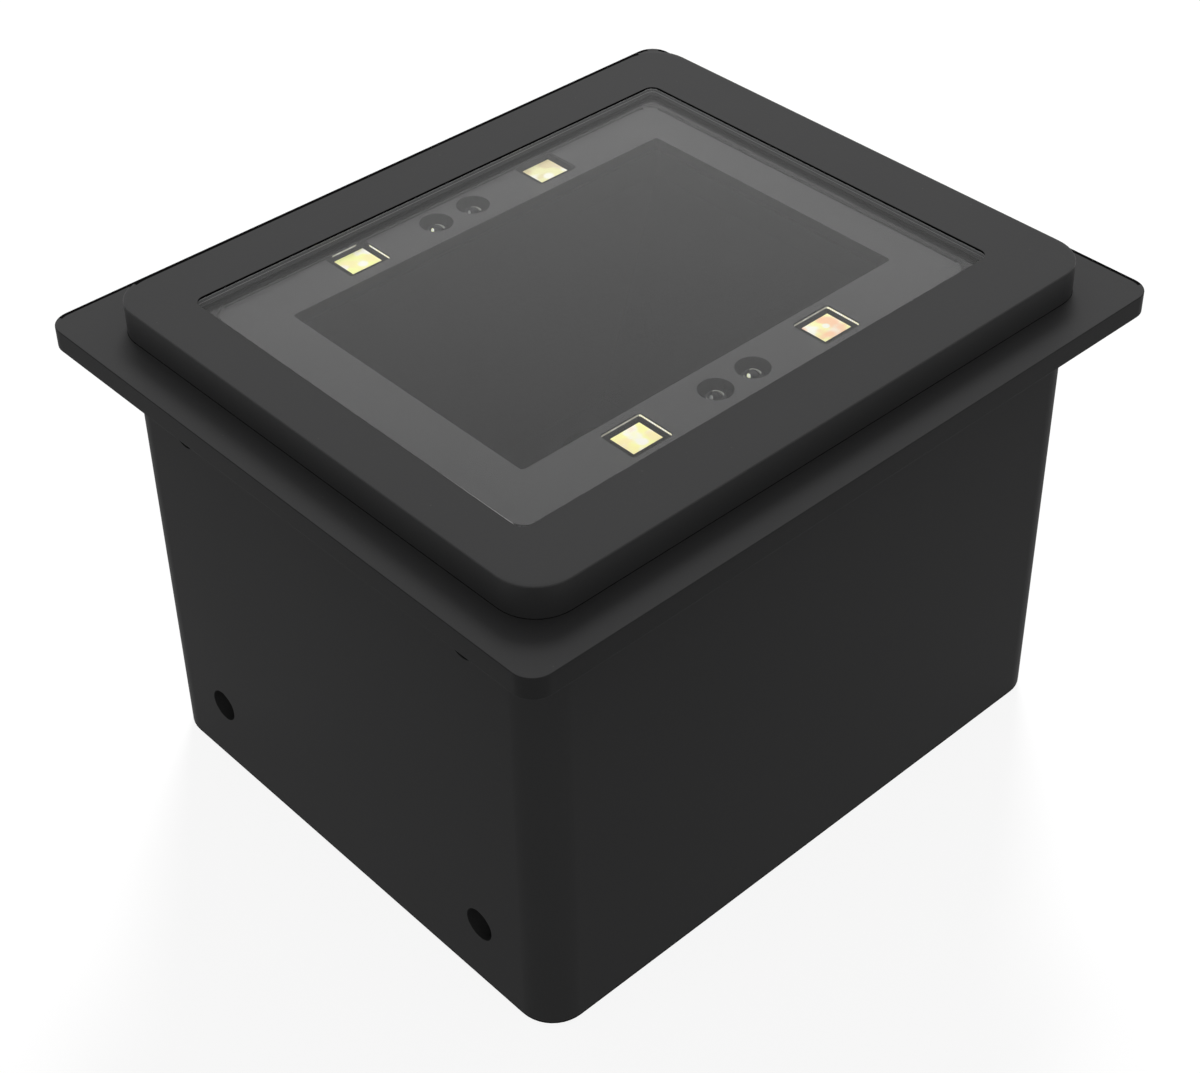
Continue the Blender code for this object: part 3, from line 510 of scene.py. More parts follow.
class TurnedMarks(Effect):
    """Fine rings that a lathe tool leaves round the piece's own axis."""

    title = "turned_marks"
    inputs = {"Colour": (0.5, 0.5, 0.5), "Pitch": 0.08 * MM, "Roughness": 0.3}
    outputs = ("Colour", "Roughness", "Height")
    patch_scale = 1400.0
    wave_roughness = 0.16

    def wire(self) -> tuple[Socket, ...]:
        """Make waves by the distance from the axis, with a slow change along them.

        Returns:
            The colour, the roughness and the height.
        """
        far = self.vector("LENGTH", self.flat_place())
        turns = self.maths("DIVIDE", self.product(far, math.tau), self.source["Pitch"])
        wave = self.maths("MULTIPLY_ADD", self.maths("SINE", turns), 0.5, 0.5)
        patch = self.noise(self.place, self.patch_scale, detail=3.0, roughness=0.5)
        colour = self.shade(self.source["Colour"], self.maths("MULTIPLY_ADD", patch, 0.35, 0.82))
        swing = self.product(wave, patch)
        rough = self.maths("MULTIPLY_ADD", swing, self.wave_roughness, self.source["Roughness"])
        return colour, rough, wave


class BoardTracks(Effect):
    """Copper tracks, pads and vias under and through a solder resist."""

    title = "board_tracks"
    inputs = {
        "Resist Colour": (0.01, 0.08, 0.03),
        "Track Colour": (0.03, 0.2, 0.07),
        "Pad Colour": (0.75, 0.6, 0.3),
        "Track Pitch": 0.8 * MM,
    }
    outputs = ("Colour", "Roughness", "Metallic", "Height")
    pad_scale = 0.45
    empty_share = 0.6
    resist_roughness = 0.42
    pad_smoothing = -0.12

    def wire(self) -> tuple[Socket, ...]:
        """Lay a brick pattern for tracks and put round pads in a few cells.

        Returns:
            The colour, the roughness, the metallic share and the height.
        """
        scale = self.maths("DIVIDE", 1.0, self.source["Track Pitch"])
        size = {"Vector": self.place, "Scale": scale, "Brick Width": 3.1, "Row Height": 1.0}
        gap = {"Mortar Size": 0.12, "Mortar Smooth": 0.1}
        bricks = self.add("TexBrick", {**size, **gap}, offset=0.37).outputs["Fac"]
        cells = self.cells(self.product(scale, self.pad_scale))
        ring = self.maths("SUBTRACT", 1.0, self.ramp(cells["Distance"], low=0.17, high=0.2))
        hole = self.ramp(cells["Distance"], low=0.07, high=0.09)
        pick = self.add("SeparateColor", {0: cells["Color"]}).outputs[1]
        pad = self.product(ring, hole, self.maths("GREATER_THAN", pick, self.empty_share))
        track = self.maths("SUBTRACT", 1.0, bricks)
        colour = self.blend(track, self.source["Track Colour"], self.source["Resist Colour"])
        colour = self.blend(pad, colour, self.source["Pad Colour"])
        rough = self.maths("MULTIPLY_ADD", pad, self.pad_smoothing, self.resist_roughness)
        return colour, rough, pad, self.maths("ADD", bricks, pad)


class WipedGlass(Effect):
    """Faint wiping marks on polished glass, seen only in its gloss."""

    title = "wiped_glass"
    inputs = {"Roughness": 0.01, "Streak": 0.03}
    outputs = ("Roughness",)
    slant = (0.0, 0.0, 0.6)
    stretch = (40.0, 420.0, 40.0)

    def wire(self) -> tuple[Socket, ...]:
        """Stretch a noise along one diagonal and add a little of it to the roughness.

        Returns:
            The roughness.
        """
        turned = {"Vector": self.place, "Rotation": self.slant, "Scale": self.stretch}
        drawn = self.add("Mapping", turned).outputs[0]
        streaks = self.noise(drawn, 1.0, detail=4.0, roughness=0.6)
        marks = self.ramp(streaks, low=0.5, high=0.8)
        source = self.source
        return (self.maths("MULTIPLY_ADD", marks, source["Streak"], source["Roughness"]),)


# Finishes


class Coat(Wiring):
    """The wiring of one material, with its Principled shader and its output."""

    def start(self, gloss: float) -> None:
        """Add the shader and the output.

        Args:
            gloss: The shader's specular level.
        """
        self.shader = self.add("BsdfPrincipled", {"Specular IOR Level": gloss})
        self.output = self.add("OutputMaterial", {"Surface": self.shader.outputs[0]})


def channels(outputs: dict[str, Socket]) -> Inputs:
    """Name an effect's outputs as the shader's inputs are named.

    Args:
        outputs: The outputs, by name.

    Returns:
        The same sockets, with the shader's name for the colour.
    """
    return {"Base Color" if name == "Colour" else name: each for name, each in outputs.items()}


@dataclass(frozen=True)
class Finish:
    """A material of the reader.

    Attributes:
        title: Name of the material.
        slot: The record's material slot that it belongs to; not used.
        colour: Main colour.
        roughness: Mean roughness.
        bump: How strongly its relief shows, as a depth in metres.
        gloss: Specular level of the shader, 0.5 for an untreated surface.
    """

    title: str
    slot: str
    colour: Colour
    roughness: float = 0.5
    bump: float = 0.0
    gloss: float = 0.5

    def material(self) -> bpy.types.Material:
        """Return the material, which is built at its first use.

        Returns:
            The material with its nodes.
        """
        material = bpy.data.materials.get(self.title)
        if material is not None:
            return material
        material = bpy.data.materials.new(self.title)
        material.diffuse_color = (*self.colour, 1.0)
        coat = Coat.of(material)
        coat.start(self.gloss)
        inputs = self.wire(coat)
        height = inputs.pop("Height", None)
        if height is not None:
            relief = {"Height": height, "Distance": self.bump, "Strength": 1.0}
            inputs["Normal"] = coat.add("Bump", relief).outputs[0]
        coat.feed(coat.shader, inputs)
        return material

    def wire(self, coat: Coat) -> Inputs:
        """Add the finish's nodes.

        Args:
            coat: The wiring of the material.

        Returns:
            What the shader's inputs are fed, and a Height for the relief.
        """
        raise NotImplementedError


@dataclass(frozen=True)
class MouldedPlastic(Finish):
    """Moulded plastic with an eroded grain, rubbed edges and a little dust."""

    grain: float = 0.16 * MM
    patch: float = 0.12
    spread: float = 0.08
    rubbed: Colour = (0.09, 0.09, 0.092)
    rub: float = 0.0
    dust: float = 0.0

    def wire(self, coat: Coat) -> Inputs:
        """Chain the grain, the rubbed edges and the dust.

        Args:
            coat: The wiring of the material.

        Returns:
            What the shader's inputs are fed.
        """
        grain = MouldGrain.use(
            coat, colour=self.colour, patch=self.patch, grain_size=self.grain,
            roughness=self.roughness, spread=self.spread,
        )
        edges = RubbedEdges.use(
            coat, colour=grain["Colour"], rubbed_colour=self.rubbed,
            roughness=grain["Roughness"], amount=self.rub,
        )
        dust = SettledDust.use(coat, colour=edges["Colour"], amount=self.dust)
        return channels({**grain, **edges, **dust})


@dataclass(frozen=True)
class PolishedGlass(Finish):
    """Clear glass that lets lamps through to what lies behind it."""

    ior: float = 1.5
    streak: float = 0.03
    coating: float = 1.0

    def wire(self, coat: Coat) -> Inputs:
        """Use the shader's transmission, and a clear film for rays that only gather light.

        Args:
            coat: The wiring of the material.

        Returns:
            What the shader's inputs are fed.
        """
        wiped = WipedGlass.use(coat, roughness=self.roughness, streak=self.streak)
        film = coat.add("BsdfTransparent", {"Color": self.colour})
        path = coat.add("LightPath").outputs
        lighting = coat.maths("MAXIMUM", path["Is Shadow Ray"], path["Is Diffuse Ray"])
        shaders = {0: lighting, 1: coat.shader.outputs[0], 2: film.outputs[0]}
        coat.feed(coat.output, {"Surface": coat.add("MixShader", shaders).outputs[0]})
        return {
            "Base Color": self.colour,
            "Transmission Weight": 1.0,
            "IOR": self.ior,
            "Specular Tint": (self.coating, self.coating, self.coating),
            "Roughness": wiped["Roughness"],
        }


@dataclass(frozen=True)
class PaintedEdgeHighlight(Finish):
    """Ground glass edge with a painted highlight that brightens and glows towards its front end.
    """

    bright: Colour = (0.6, 0.6, 0.58)
    start: float = 10 * MM
    end: float = 21 * MM
    glow: float = 0.8

    def wire(self, coat: Coat) -> Inputs:
        """Blend to the bright colour along the piece.

        Args:
            coat: The wiring of the material.

        Returns:
            What the shader's inputs are fed.
        """
        place = coat.add("TexCoord").outputs["Object"]
        front = coat.product(coat.add("SeparateXYZ", {0: place}).outputs[1], -1.0)
        share = coat.ramp(front, self.start, self.end)
        return {
            "Base Color": coat.blend(share, self.colour, self.bright),
            "Emission Color": coat.blend(share, BLACK, self.bright),
            "Emission Strength": self.glow,
            "Roughness": self.roughness,
        }


@dataclass(frozen=True)
class CellularRubber(Finish):
    """Matt black rubber with fine pores."""

    pore: float = 0.22 * MM

    def wire(self, coat: Coat) -> Inputs:
        """Feed the pores to colour, roughness and relief.

        Args:
            coat: The wiring of the material.

        Returns:
            What the shader's inputs are fed.
        """
        pores = FoamPores.use(
            coat, colour=self.colour, pore_size=self.pore, roughness=self.roughness
        )
        return channels(pores)


@dataclass(frozen=True)
class CastPhosphor(Finish):
    """Pale phosphor cast over a white LED, softly lit from within; also used for the glowing
    painted highlights and glints on the collars and the aiming LEDs.
    """

    white: Colour = (0.82, 0.81, 0.7)
    rose: Colour = (0.8, 0.62, 0.4)
    patch: float = 1.7 * MM
    shift: float = 0.0
    rosy: float = 0.5
    spot: tuple[float, float] = (0.0, 0.0)
    spot_size: float = 0.02 * MM
    glow: float = 0.42

    def wire(self, coat: Coat) -> Inputs:
        """Feed the mottled colour to the face and to its glow.

        Args:
            coat: The wiring of the material.

        Returns:
            What the shader's inputs are fed.
        """
        mottle = Mottle.use(
            coat, first_colour=self.colour, second_colour=self.white, third_colour=self.rose,
            patch_size=self.patch, shift=self.shift, third_share=self.rosy,
            spot_x=self.spot[0], spot_y=self.spot[1], spot_size=self.spot_size,
        )
        glow = {"Emission Color": mottle["Colour"], "Emission Strength": self.glow}
        return {**channels(mottle), **glow, "Roughness": self.roughness}


@dataclass(frozen=True)
class TurnedMetal(Finish):
    """Metal with lathe marks, plated or anodised."""

    metallic: float = 1.0
    pitch: float = 0.08 * MM

    def wire(self, coat: Coat) -> Inputs:
        """Feed the lathe marks to colour, roughness and relief.

        Args:
            coat: The wiring of the material.

        Returns:
            What the shader's inputs are fed.
        """
        marks = TurnedMarks.use(
            coat, colour=self.colour, pitch=self.pitch, roughness=self.roughness
        )
        return {**channels(marks), "Metallic": self.metallic}


@dataclass(frozen=True)
class CircuitBoard(Finish):
    """Laminate with tracks under a solder resist and bare pads."""

    track: Colour = (0.03, 0.17, 0.07)
    pad: Colour = (0.78, 0.62, 0.32)
    pitch: float = 0.8 * MM

    def wire(self, coat: Coat) -> Inputs:
        """Feed the tracks and pads to every channel that they change.

        Args:
            coat: The wiring of the material.

        Returns:
            What the shader's inputs are fed.
        """
        tracks = BoardTracks.use(
            coat, resist_colour=self.colour, track_colour=self.track, pad_colour=self.pad,
            track_pitch=self.pitch,
        )
        return channels(tracks)


FRAME_PLASTIC = MouldedPlastic(
    "frame_plastic", "black_plastic", (0.022, 0.022, 0.0223), 0.5, 0.004 * MM, 0.26,
    rub=0.05, dust=0.08,
)
FLANGE_EDGE = MouldedPlastic(
    "flange_edge", "black_plastic", (0.0275, 0.0275, 0.0278), 0.5, 0.003 * MM, 0.03,
    rub=0.08, dust=0.08,
)
# Near-black painted shade for far edges, creases, the window recess and the housing's foot.
FRAME_PAINTED_SHADE = MouldedPlastic(
    "frame_painted_shade", "black_plastic", (0.002, 0.002, 0.002), 0.8, 0.002 * MM, 0.03
)
# Rougher finish for the side holes, painted darker as shade inside them.
BORE_PAINTED_SHADE = MouldedPlastic(
    "bore_painted_shade", "black_plastic", (0.022, 0.022, 0.022), 0.7, 0.004 * MM, 0.03
)
CASE_PLASTIC = MouldedPlastic(
    "case_plastic", "black_plastic", (0.042, 0.042, 0.0424), 0.5, 0.004 * MM, 0.02,
    rub=0.08, dust=0.08,
)
SHROUD_PLASTIC = MouldedPlastic(
    "shroud_plastic", "shroud_black", (0.002, 0.002, 0.002), 0.9, 0.01 * MM, 0.02
)
COLLAR_PLASTIC = MouldedPlastic(
    "collar_plastic", "shroud_black", (0.012, 0.012, 0.011), 0.7, 0.004 * MM, grain=0.08 * MM
)
# Glowing painted highlights on the tops of the collars' inner faces, where the LEDs' light falls.
LIP_PAINTED_HIGHLIGHT = CastPhosphor(
    "lip_painted_highlight", "led_phosphor", (0.9, 0.86, 0.62), 0.4, 0.002 * MM,
    white=(0.9, 0.89, 0.8), rosy=0.0, patch=1.2 * MM, glow=0.9,
)
LIP_DIM_PAINTED_HIGHLIGHT = CastPhosphor(
    "lip_dim_painted_highlight", "led_phosphor", (0.55, 0.54, 0.46), 0.4, 0.002 * MM,
    white=(0.68, 0.67, 0.62), rose=(0.36, 0.34, 0.28), patch=1.2 * MM, glow=0.3,
)
MASK_PLASTIC = MouldedPlastic(
    "mask_plastic", "grey_mask", (0.0122, 0.0122, 0.0125), 0.45, 0.001 * MM, 0.72,
    grain=0.12 * MM, patch=0.08, rubbed=(0.06, 0.06, 0.06), rub=0.2,
)
# Near-black painted shade for the walls of the mask's opening and wells and the strips along its
# right and back ends.
MASK_PAINTED_SHADE = MouldedPlastic(
    "mask_painted_shade", "grey_mask", (0.002, 0.002, 0.002), 0.9, 0.004 * MM, 0.02
)
SOCKET_PLASTIC = MouldedPlastic(
    "socket_plastic", "chip_black", (0.018, 0.018, 0.019), 0.4, 0.005 * MM, rub=0.5, dust=0.08
)
CHIP_EPOXY = MouldedPlastic(
    "chip_epoxy", "chip_black", (0.022, 0.022, 0.024), 0.5, 0.008 * MM, grain=0.1 * MM, rub=0.2
)
IVORY_PLASTIC = MouldedPlastic(
    "ivory_plastic", "connector_ivory", (0.68, 0.63, 0.5), 0.45, 0.004 * MM,
    rubbed=(0.75, 0.7, 0.6), rub=0.2,
)
FLEX_FILM = MouldedPlastic(
    "flex_film", "flex_amber", (0.42, 0.16, 0.025), 0.3, 0.002 * MM,
    grain=0.3 * MM, patch=0.4, rubbed=(0.5, 0.22, 0.05), rub=0.1,
)
SENSOR_COVER = MouldedPlastic(
    "sensor_cover", "sensor_face", (0.05, 0.03, 0.09), 0.08, 0.0005 * MM,
    grain=0.05 * MM, patch=0.6, rubbed=(0.3, 0.3, 0.32), rub=0.5,
)
WINDOW_GLASS = PolishedGlass(
    "window_glass_clear", "window_glass", (0.94, 0.94, 0.94), 0.0, coating=0.33
)
GROUND_EDGE = MouldedPlastic(
    "ground_edge", "window_glass", (0.045, 0.047, 0.047), 0.6, 0.003 * MM, 0.3, grain=0.06 * MM
)
# Pale painted reflection for two bands of the glass's sides.
EDGE_PAINTED_REFLECTION = MouldedPlastic(
    "edge_painted_reflection", "window_glass", (0.24, 0.245, 0.245), 0.5, 0.002 * MM, 0.3, grain=0.06 * MM
)
# Glowing painted highlight on the left end of the glass's top edge.
EDGE_PAINTED_HIGHLIGHT = PaintedEdgeHighlight("edge_painted_highlight", "window_glass", (0.03, 0.032, 0.032), 0.4)
LENS_GLASS = PolishedGlass(
    "lens_glass", "window_glass", (0.9, 0.92, 0.96), 0.0, ior=1.6, streak=0.0, coating=0.2
)
LENS_EPOXY = MouldedPlastic(
    "lens_epoxy", "led_lens", (0.012, 0.013, 0.014), 0.08, 0.0003 * MM, 0.2,
    grain=0.05 * MM, rubbed=(0.03, 0.03, 0.03), rub=0.1,
)
# Glowing painted glint on the domes of the brighter aiming LEDs.
LENS_PAINTED_GLINT = CastPhosphor(
    "lens_painted_glint", "led_phosphor", (0.86, 0.9, 0.62), 0.2, 0.0005 * MM,
    white=(0.9, 0.92, 0.84), rosy=0.0, patch=0.5 * MM, glow=0.7,
)
# Glowing painted highlight on part of the aiming LEDs' rims.
RIM_PAINTED_HIGHLIGHT = CastPhosphor(
    "rim_painted_highlight", "led_lens", (0.2, 0.205, 0.18), 0.3, 0.0005 * MM,
    white=(0.25, 0.255, 0.22), rosy=0.0, patch=0.5 * MM, glow=0.25,
)
# Dimmer glowing painted glint on the domes of the other aiming LEDs.
DIM_PAINTED_GLINT = CastPhosphor(
    "dim_painted_glint", "led_phosphor", (0.26, 0.27, 0.26), 0.2, 0.0005 * MM,
    white=(0.36, 0.37, 0.36), rosy=0.0, patch=0.5 * MM, glow=0.3,
)
GASKET_FOAM = CellularRubber("gasket_foam", "black_rubber", (0.028, 0.028, 0.028), 0.88, 0.03 * MM)
PHOSPHORS = (
    CastPhosphor(
        "cast_phosphor_1", "led_phosphor", (0.82, 0.8, 0.32), 0.35, 0.004 * MM,
        shift=0.044, rosy=0.5, spot=(0.0, -0.69 * MM), spot_size=0.52 * MM,
    ),
    CastPhosphor(
        "cast_phosphor_2", "led_phosphor", (0.82, 0.79, 0.38), 0.35, 0.004 * MM,
        rose=(0.82, 0.5, 0.3), shift=0.037, rosy=0.95, spot=(0.17 * MM, 0.18 * MM),
        spot_size=0.35 * MM,
    ),
    CastPhosphor(
        "cast_phosphor_3", "led_phosphor", (0.8, 0.82, 0.32), 0.35, 0.004 * MM,
        shift=0.061, rosy=0.4, spot=(0.07 * MM, -0.71 * MM), spot_size=0.48 * MM,
    ),
    CastPhosphor(
        "cast_phosphor_4", "led_phosphor", (0.74, 0.72, 0.4), 0.35, 0.004 * MM,
        rose=(0.62, 0.52, 0.3), shift=0.083, rosy=0.85, spot=(-0.38 * MM, -1.02 * MM),
        spot_size=0.5 * MM,
    ),
)
PLATED_STEEL = TurnedMetal("plated_steel", "steel", (0.52, 0.52, 0.54), 0.3, 0.004 * MM)
BLACK_ANODISE = TurnedMetal(
    "black_anodise", "anodised_black", (0.003, 0.003, 0.0034), 0.7, 0.004 * MM, 0.03, metallic=0.0
)
BLACK_BOARD = CircuitBoard(
    "black_board", "circuit_board", (0.003, 0.0035, 0.0032), 0.5, 0.01 * MM, 0.05,
    track=(0.004, 0.0045, 0.0042), pad=(0.02, 0.018, 0.012),
)
GREEN_BOARD = CircuitBoard("green_board", "circuit_board", (0.008, 0.06, 0.025), 0.42, 0.03 * MM)


# Meshes


@dataclass(frozen=True)
class Outline:
    """A plan rectangle with rounded corners."""

    x: float
    y: float
    length: float
    width: float
    corner: float

    @classmethod
    def of_node(cls, node: str, corner: float, gap: float = 0.0) -> Outline:
        """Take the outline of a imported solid.

        Args:
            node: The solid's name.
            corner: The corner radius.
            gap: How far outside the solid's box the sides lie.

        Returns:
            The outline round the solid's box.
        """
        low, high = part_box(node)
        x, y = (low[0] + high[0]) / 2, (low[1] + high[1]) / 2
        outline = cls(x, y, high[0] - low[0], high[1] - low[1], corner)
        return outline.grown(gap, corner=corner)

    @classmethod
    def circle(cls, x: float, y: float, radius: float) -> Outline:
        """A circle, drawn as a square with corners nearly as wide as itself.

        Args:
            x: Its middle along the reader.
            y: Its middle across the reader.
            radius: Its radius.

        Returns:
            The outline.
        """
        return cls(x, y, 2 * radius, 2 * radius, radius * NEARLY_ROUND)

    def centred(self) -> Outline:
        """The same outline round the origin."""
        return replace(self, x=0.0, y=0.0)

    def grown(
        self, along: float, across: float | None = None, corner: float | None = None
    ) -> Outline:
        """Move the sides outwards.

        Args:
            along: How far the ends move.
            across: How far the front and back move, the same as the ends if left out.
            corner: The new corner radius, which follows the ends if left out.

        Returns:
            The new outline.
        """
        across = along if across is None else across
        corner = max(self.corner + along, 2 * HAIR) if corner is None else corner
        return Outline(self.x, self.y, self.length + 2 * along, self.width + 2 * across, corner)

    def moved(self, left: float, right: float, front: float, back: float) -> Outline:
        """Move each side outwards by its own amount.

        Args:
            left: How far the end towards -X moves.
            right: How far the end towards +X moves.
            front: How far the side towards -Y moves.
            back: How far the side towards +Y moves.

        Returns:
            The new outline, with the same corners.
        """
        x, y = self.x + (right - left) / 2, self.y + (back - front) / 2
        return Outline(x, y, self.length + left + right, self.width + front + back, self.corner)

    def holds(self, point: Vector) -> bool:
        """Tell whether a point lies within the sides.

        Args:
            point: The point; its height doesn't matter.

        Returns:
            Whether it lies within them.
        """
        return abs(point.x - self.x) < self.length / 2 and abs(point.y - self.y) < self.width / 2

    def loop(self, height: float) -> list[Vector]:
        """Points round the outline, the same number for every outline.

        Args:
            height: The height of the points.

        Returns:
            The points, anticlockwise from above.
        """
        points: list[Vector] = []
        for turn, (sx, sy) in enumerate(((1, 1), (-1, 1), (-1, -1), (1, -1))):
            middle_x = self.x + sx * (self.length / 2 - self.corner)
            middle_y = self.y + sy * (self.width / 2 - self.corner)
            for step in range(CORNER_STEPS + 1):
                angle = math.pi / 2 * (turn + step / CORNER_STEPS)
                x = middle_x + self.corner * math.cos(angle)
                points.append(Vector((x, middle_y + self.corner * math.sin(angle), height)))
        return points


class Wall(Enum):
    """Which side of an upright wall its material is on."""

    OUTER = 1
    INNER = -1


class Face(Enum):
    """Which way the level face beside a fillet looks."""

    UP = 1
    DOWN = -1


class Loft:
    """Loops with the same number of points, joined in order to one mesh."""

    def __init__(self) -> None:
        """Start with no loops."""
        self.loops: list[list[Vector]] = []

    def at(self, outline: Outline, *heights: float) -> Loft:
        """Add one loop for each height.

        Args:
            outline: The outline of the loops.
            heights: Their heights.

        Returns:
            The loft itself.
        """
        self.loops.extend(outline.loop(height) for height in heights)
        return self

    def fillet(
        self, wall: Outline, level: float, radius: float, side: Wall, face: Face,
        from_wall: bool = False,
    ) -> Loft:
        """Add a quarter round between a level face and an upright wall.

        Args:
            wall: The wall's outline.
            level: The height of the level face.
            radius: The radius of the round.
            side: Which side of the wall the material is on.
            face: Which way the level face looks.
            from_wall: Whether the loops run from the wall to the level face.

        Returns:
            The loft itself.
        """
        loops = []
        for step in range(FILLET_STEPS + 1):
            angle = math.pi / 2 * step / FILLET_STEPS
            shift = -side.value * radius * (1 - math.sin(angle))
            drop = face.value * radius * (1 - math.cos(angle))
            loops.append(wall.grown(shift).loop(level - drop))
        self.loops.extend(reversed(loops) if from_wall else loops)
        return self

    def mesh(self, closed: bool) -> Shape:
        """Join the loops.

        Args:
            closed: Whether the last loop joins the first; otherwise both ends are capped.

        Returns:
            The mesh, with its faces turned outwards.
        """
        shape = bmesh.new()
        rows = [[shape.verts.new(point) for point in loop] for loop in self.loops]
        pairs = list(zip(rows, rows[1:]))
        if closed:
            pairs.append((rows[-1], rows[0]))
        for lower, upper in pairs:
            for index in range(len(lower)):
                after = (index + 1) % len(lower)
                shape.faces.new((lower[index], lower[after], upper[after], upper[index]))
        if not closed:
            shape.faces.new(list(reversed(rows[0])))
            shape.faces.new(rows[-1])
        bmesh.ops.recalc_face_normals(shape, faces=shape.faces)
        return shape


def pillar(outline: Outline, low: float, high: float) -> Shape:
    """A plain upright block on an outline, used to join and to cut.

    Args:
        outline: The block's outline.
        low: The height of its bottom.
        high: The height of its top.

    Returns:
        The block.
    """
    return Loft().at(outline, low, high).mesh(closed=False)


def lathe(profile: Sequence[tuple[float, float]], steps: int = LATHE_STEPS) -> Shape:
    """Turn a profile round the upright axis.

    Args:
        profile: Points as (radius, height), from one end of the axis to the other.
        steps: The number of steps round the axis.

    Returns:
        The turned mesh.
    """
    shape = bmesh.new()
    verts = [shape.verts.new((radius, 0.0, height)) for radius, height in profile]
    edges = [shape.edges.new(pair) for pair in zip(verts, verts[1:])]
    bmesh.ops.spin(
        shape, geom=verts + edges, cent=(0, 0, 0), axis=(0, 0, 1), angle=math.tau, steps=steps,
        use_merge=True,
    )
    bmesh.ops.remove_doubles(shape, verts=shape.verts, dist=1e-6)
    bmesh.ops.recalc_face_normals(shape, faces=shape.faces)
    return shape


def direction(azimuth: float, height: float) -> Vector:
    """The unit vector towards a point of the sky.

    Args:
        azimuth: Its direction in plan, in degrees from +X towards +Y.
        height: Its height above the horizon, in degrees.

    Returns:
        The vector.
    """
    turn, lift = math.radians(azimuth), math.radians(height)
    across = math.cos(lift)
    return Vector((math.cos(turn) * across, math.sin(turn) * across, math.sin(lift)))


def data_of(name: str, shape: Shape) -> bpy.types.Mesh:
    """Turn a bmesh into mesh data and free it.

    Args:
        name: The name of the data.
        shape: The bmesh.

    Returns:
        The mesh data.
    """
    data = bpy.data.meshes.new(name)
    shape.to_mesh(data)
    shape.free()
    return data


def placed(name: str, data: Any, location: Sequence[float] = (0, 0, 0)) -> bpy.types.Object:
    """Put an object in the scene.

    Args:
        name: The object's name.
        data: Its mesh, lamp or camera data.
        location: Its location.

    Returns:
        The object.
    """
    obj = bpy.data.objects.new(name, data)
    obj.location = location
    bpy.context.scene.collection.objects.link(obj)
    return obj


def combined(
    base: Shape, joins: Sequence[Shape] = (), cuts: Sequence[Shape] = (), soften: float = 0.0
) -> bpy.types.Mesh:
    """Join shapes to a base, cut others out of it and soften the edges that result.

    Args:
        base: The shape to start from.
        joins: The shapes to join.
        cuts: The shapes to cut away.
        soften: The width of the bevel on sharp edges, or 0 for none.

    Returns:
        The finished mesh data.
    """
    main = placed("combined", data_of("combined", base))
    tools = []
    for operation, shapes in (("UNION", joins), ("DIFFERENCE", cuts)):
        for shape in shapes:
            tools.append(placed("tool", data_of("tool", shape)))
            modifier = main.modifiers.new("combine", "BOOLEAN")
            modifier.operation = operation
            modifier.solver = "EXACT"
            modifier.object = tools[-1]
    if soften > 0:
        bevel = main.modifiers.new("soften", "BEVEL")
        bevel.width = soften
        bevel.segments = 2
        bevel.limit_method = "ANGLE"
        bevel.angle_limit = SHARP_ANGLE
        bevel.use_clamp_overlap = True
    graph = bpy.context.evaluated_depsgraph_get()
    data = bpy.data.meshes.new_from_object(main.evaluated_get(graph))
    for obj in (main, *tools):
        old = obj.data
        bpy.data.objects.remove(obj, do_unlink=True)
        bpy.data.meshes.remove(old)
    return data


def show(
    name: str, data: bpy.types.Mesh, finishes: Sequence[Finish], stands_for: Sequence[str],
    place: Sequence[float] = (0.0, 0.0, 0.0),
) -> None:
    """Put a piece in the scene, smooth its round faces and fix it to the reader.

    Args:
        name: The piece's name.
        data: Its mesh data.
        finishes: Its finishes, in the order of the mesh's material indices.
        stands_for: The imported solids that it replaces.
        place: Its location.
    """
    data.name = name
    for finish in finishes:
        data.materials.append(finish.material())
    data.shade_smooth()
    data.set_sharp_from_angle(angle=SHARP_ANGLE)
    piece = placed(name, data, place)
    piece.modifiers.new("even_shading", "WEIGHTED_NORMAL").keep_sharp = True
    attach(piece, BODY)
    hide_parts(*stands_for)
    LOG.info("%s: %d faces", name, len(data.polygons))


# Sub-assemblies


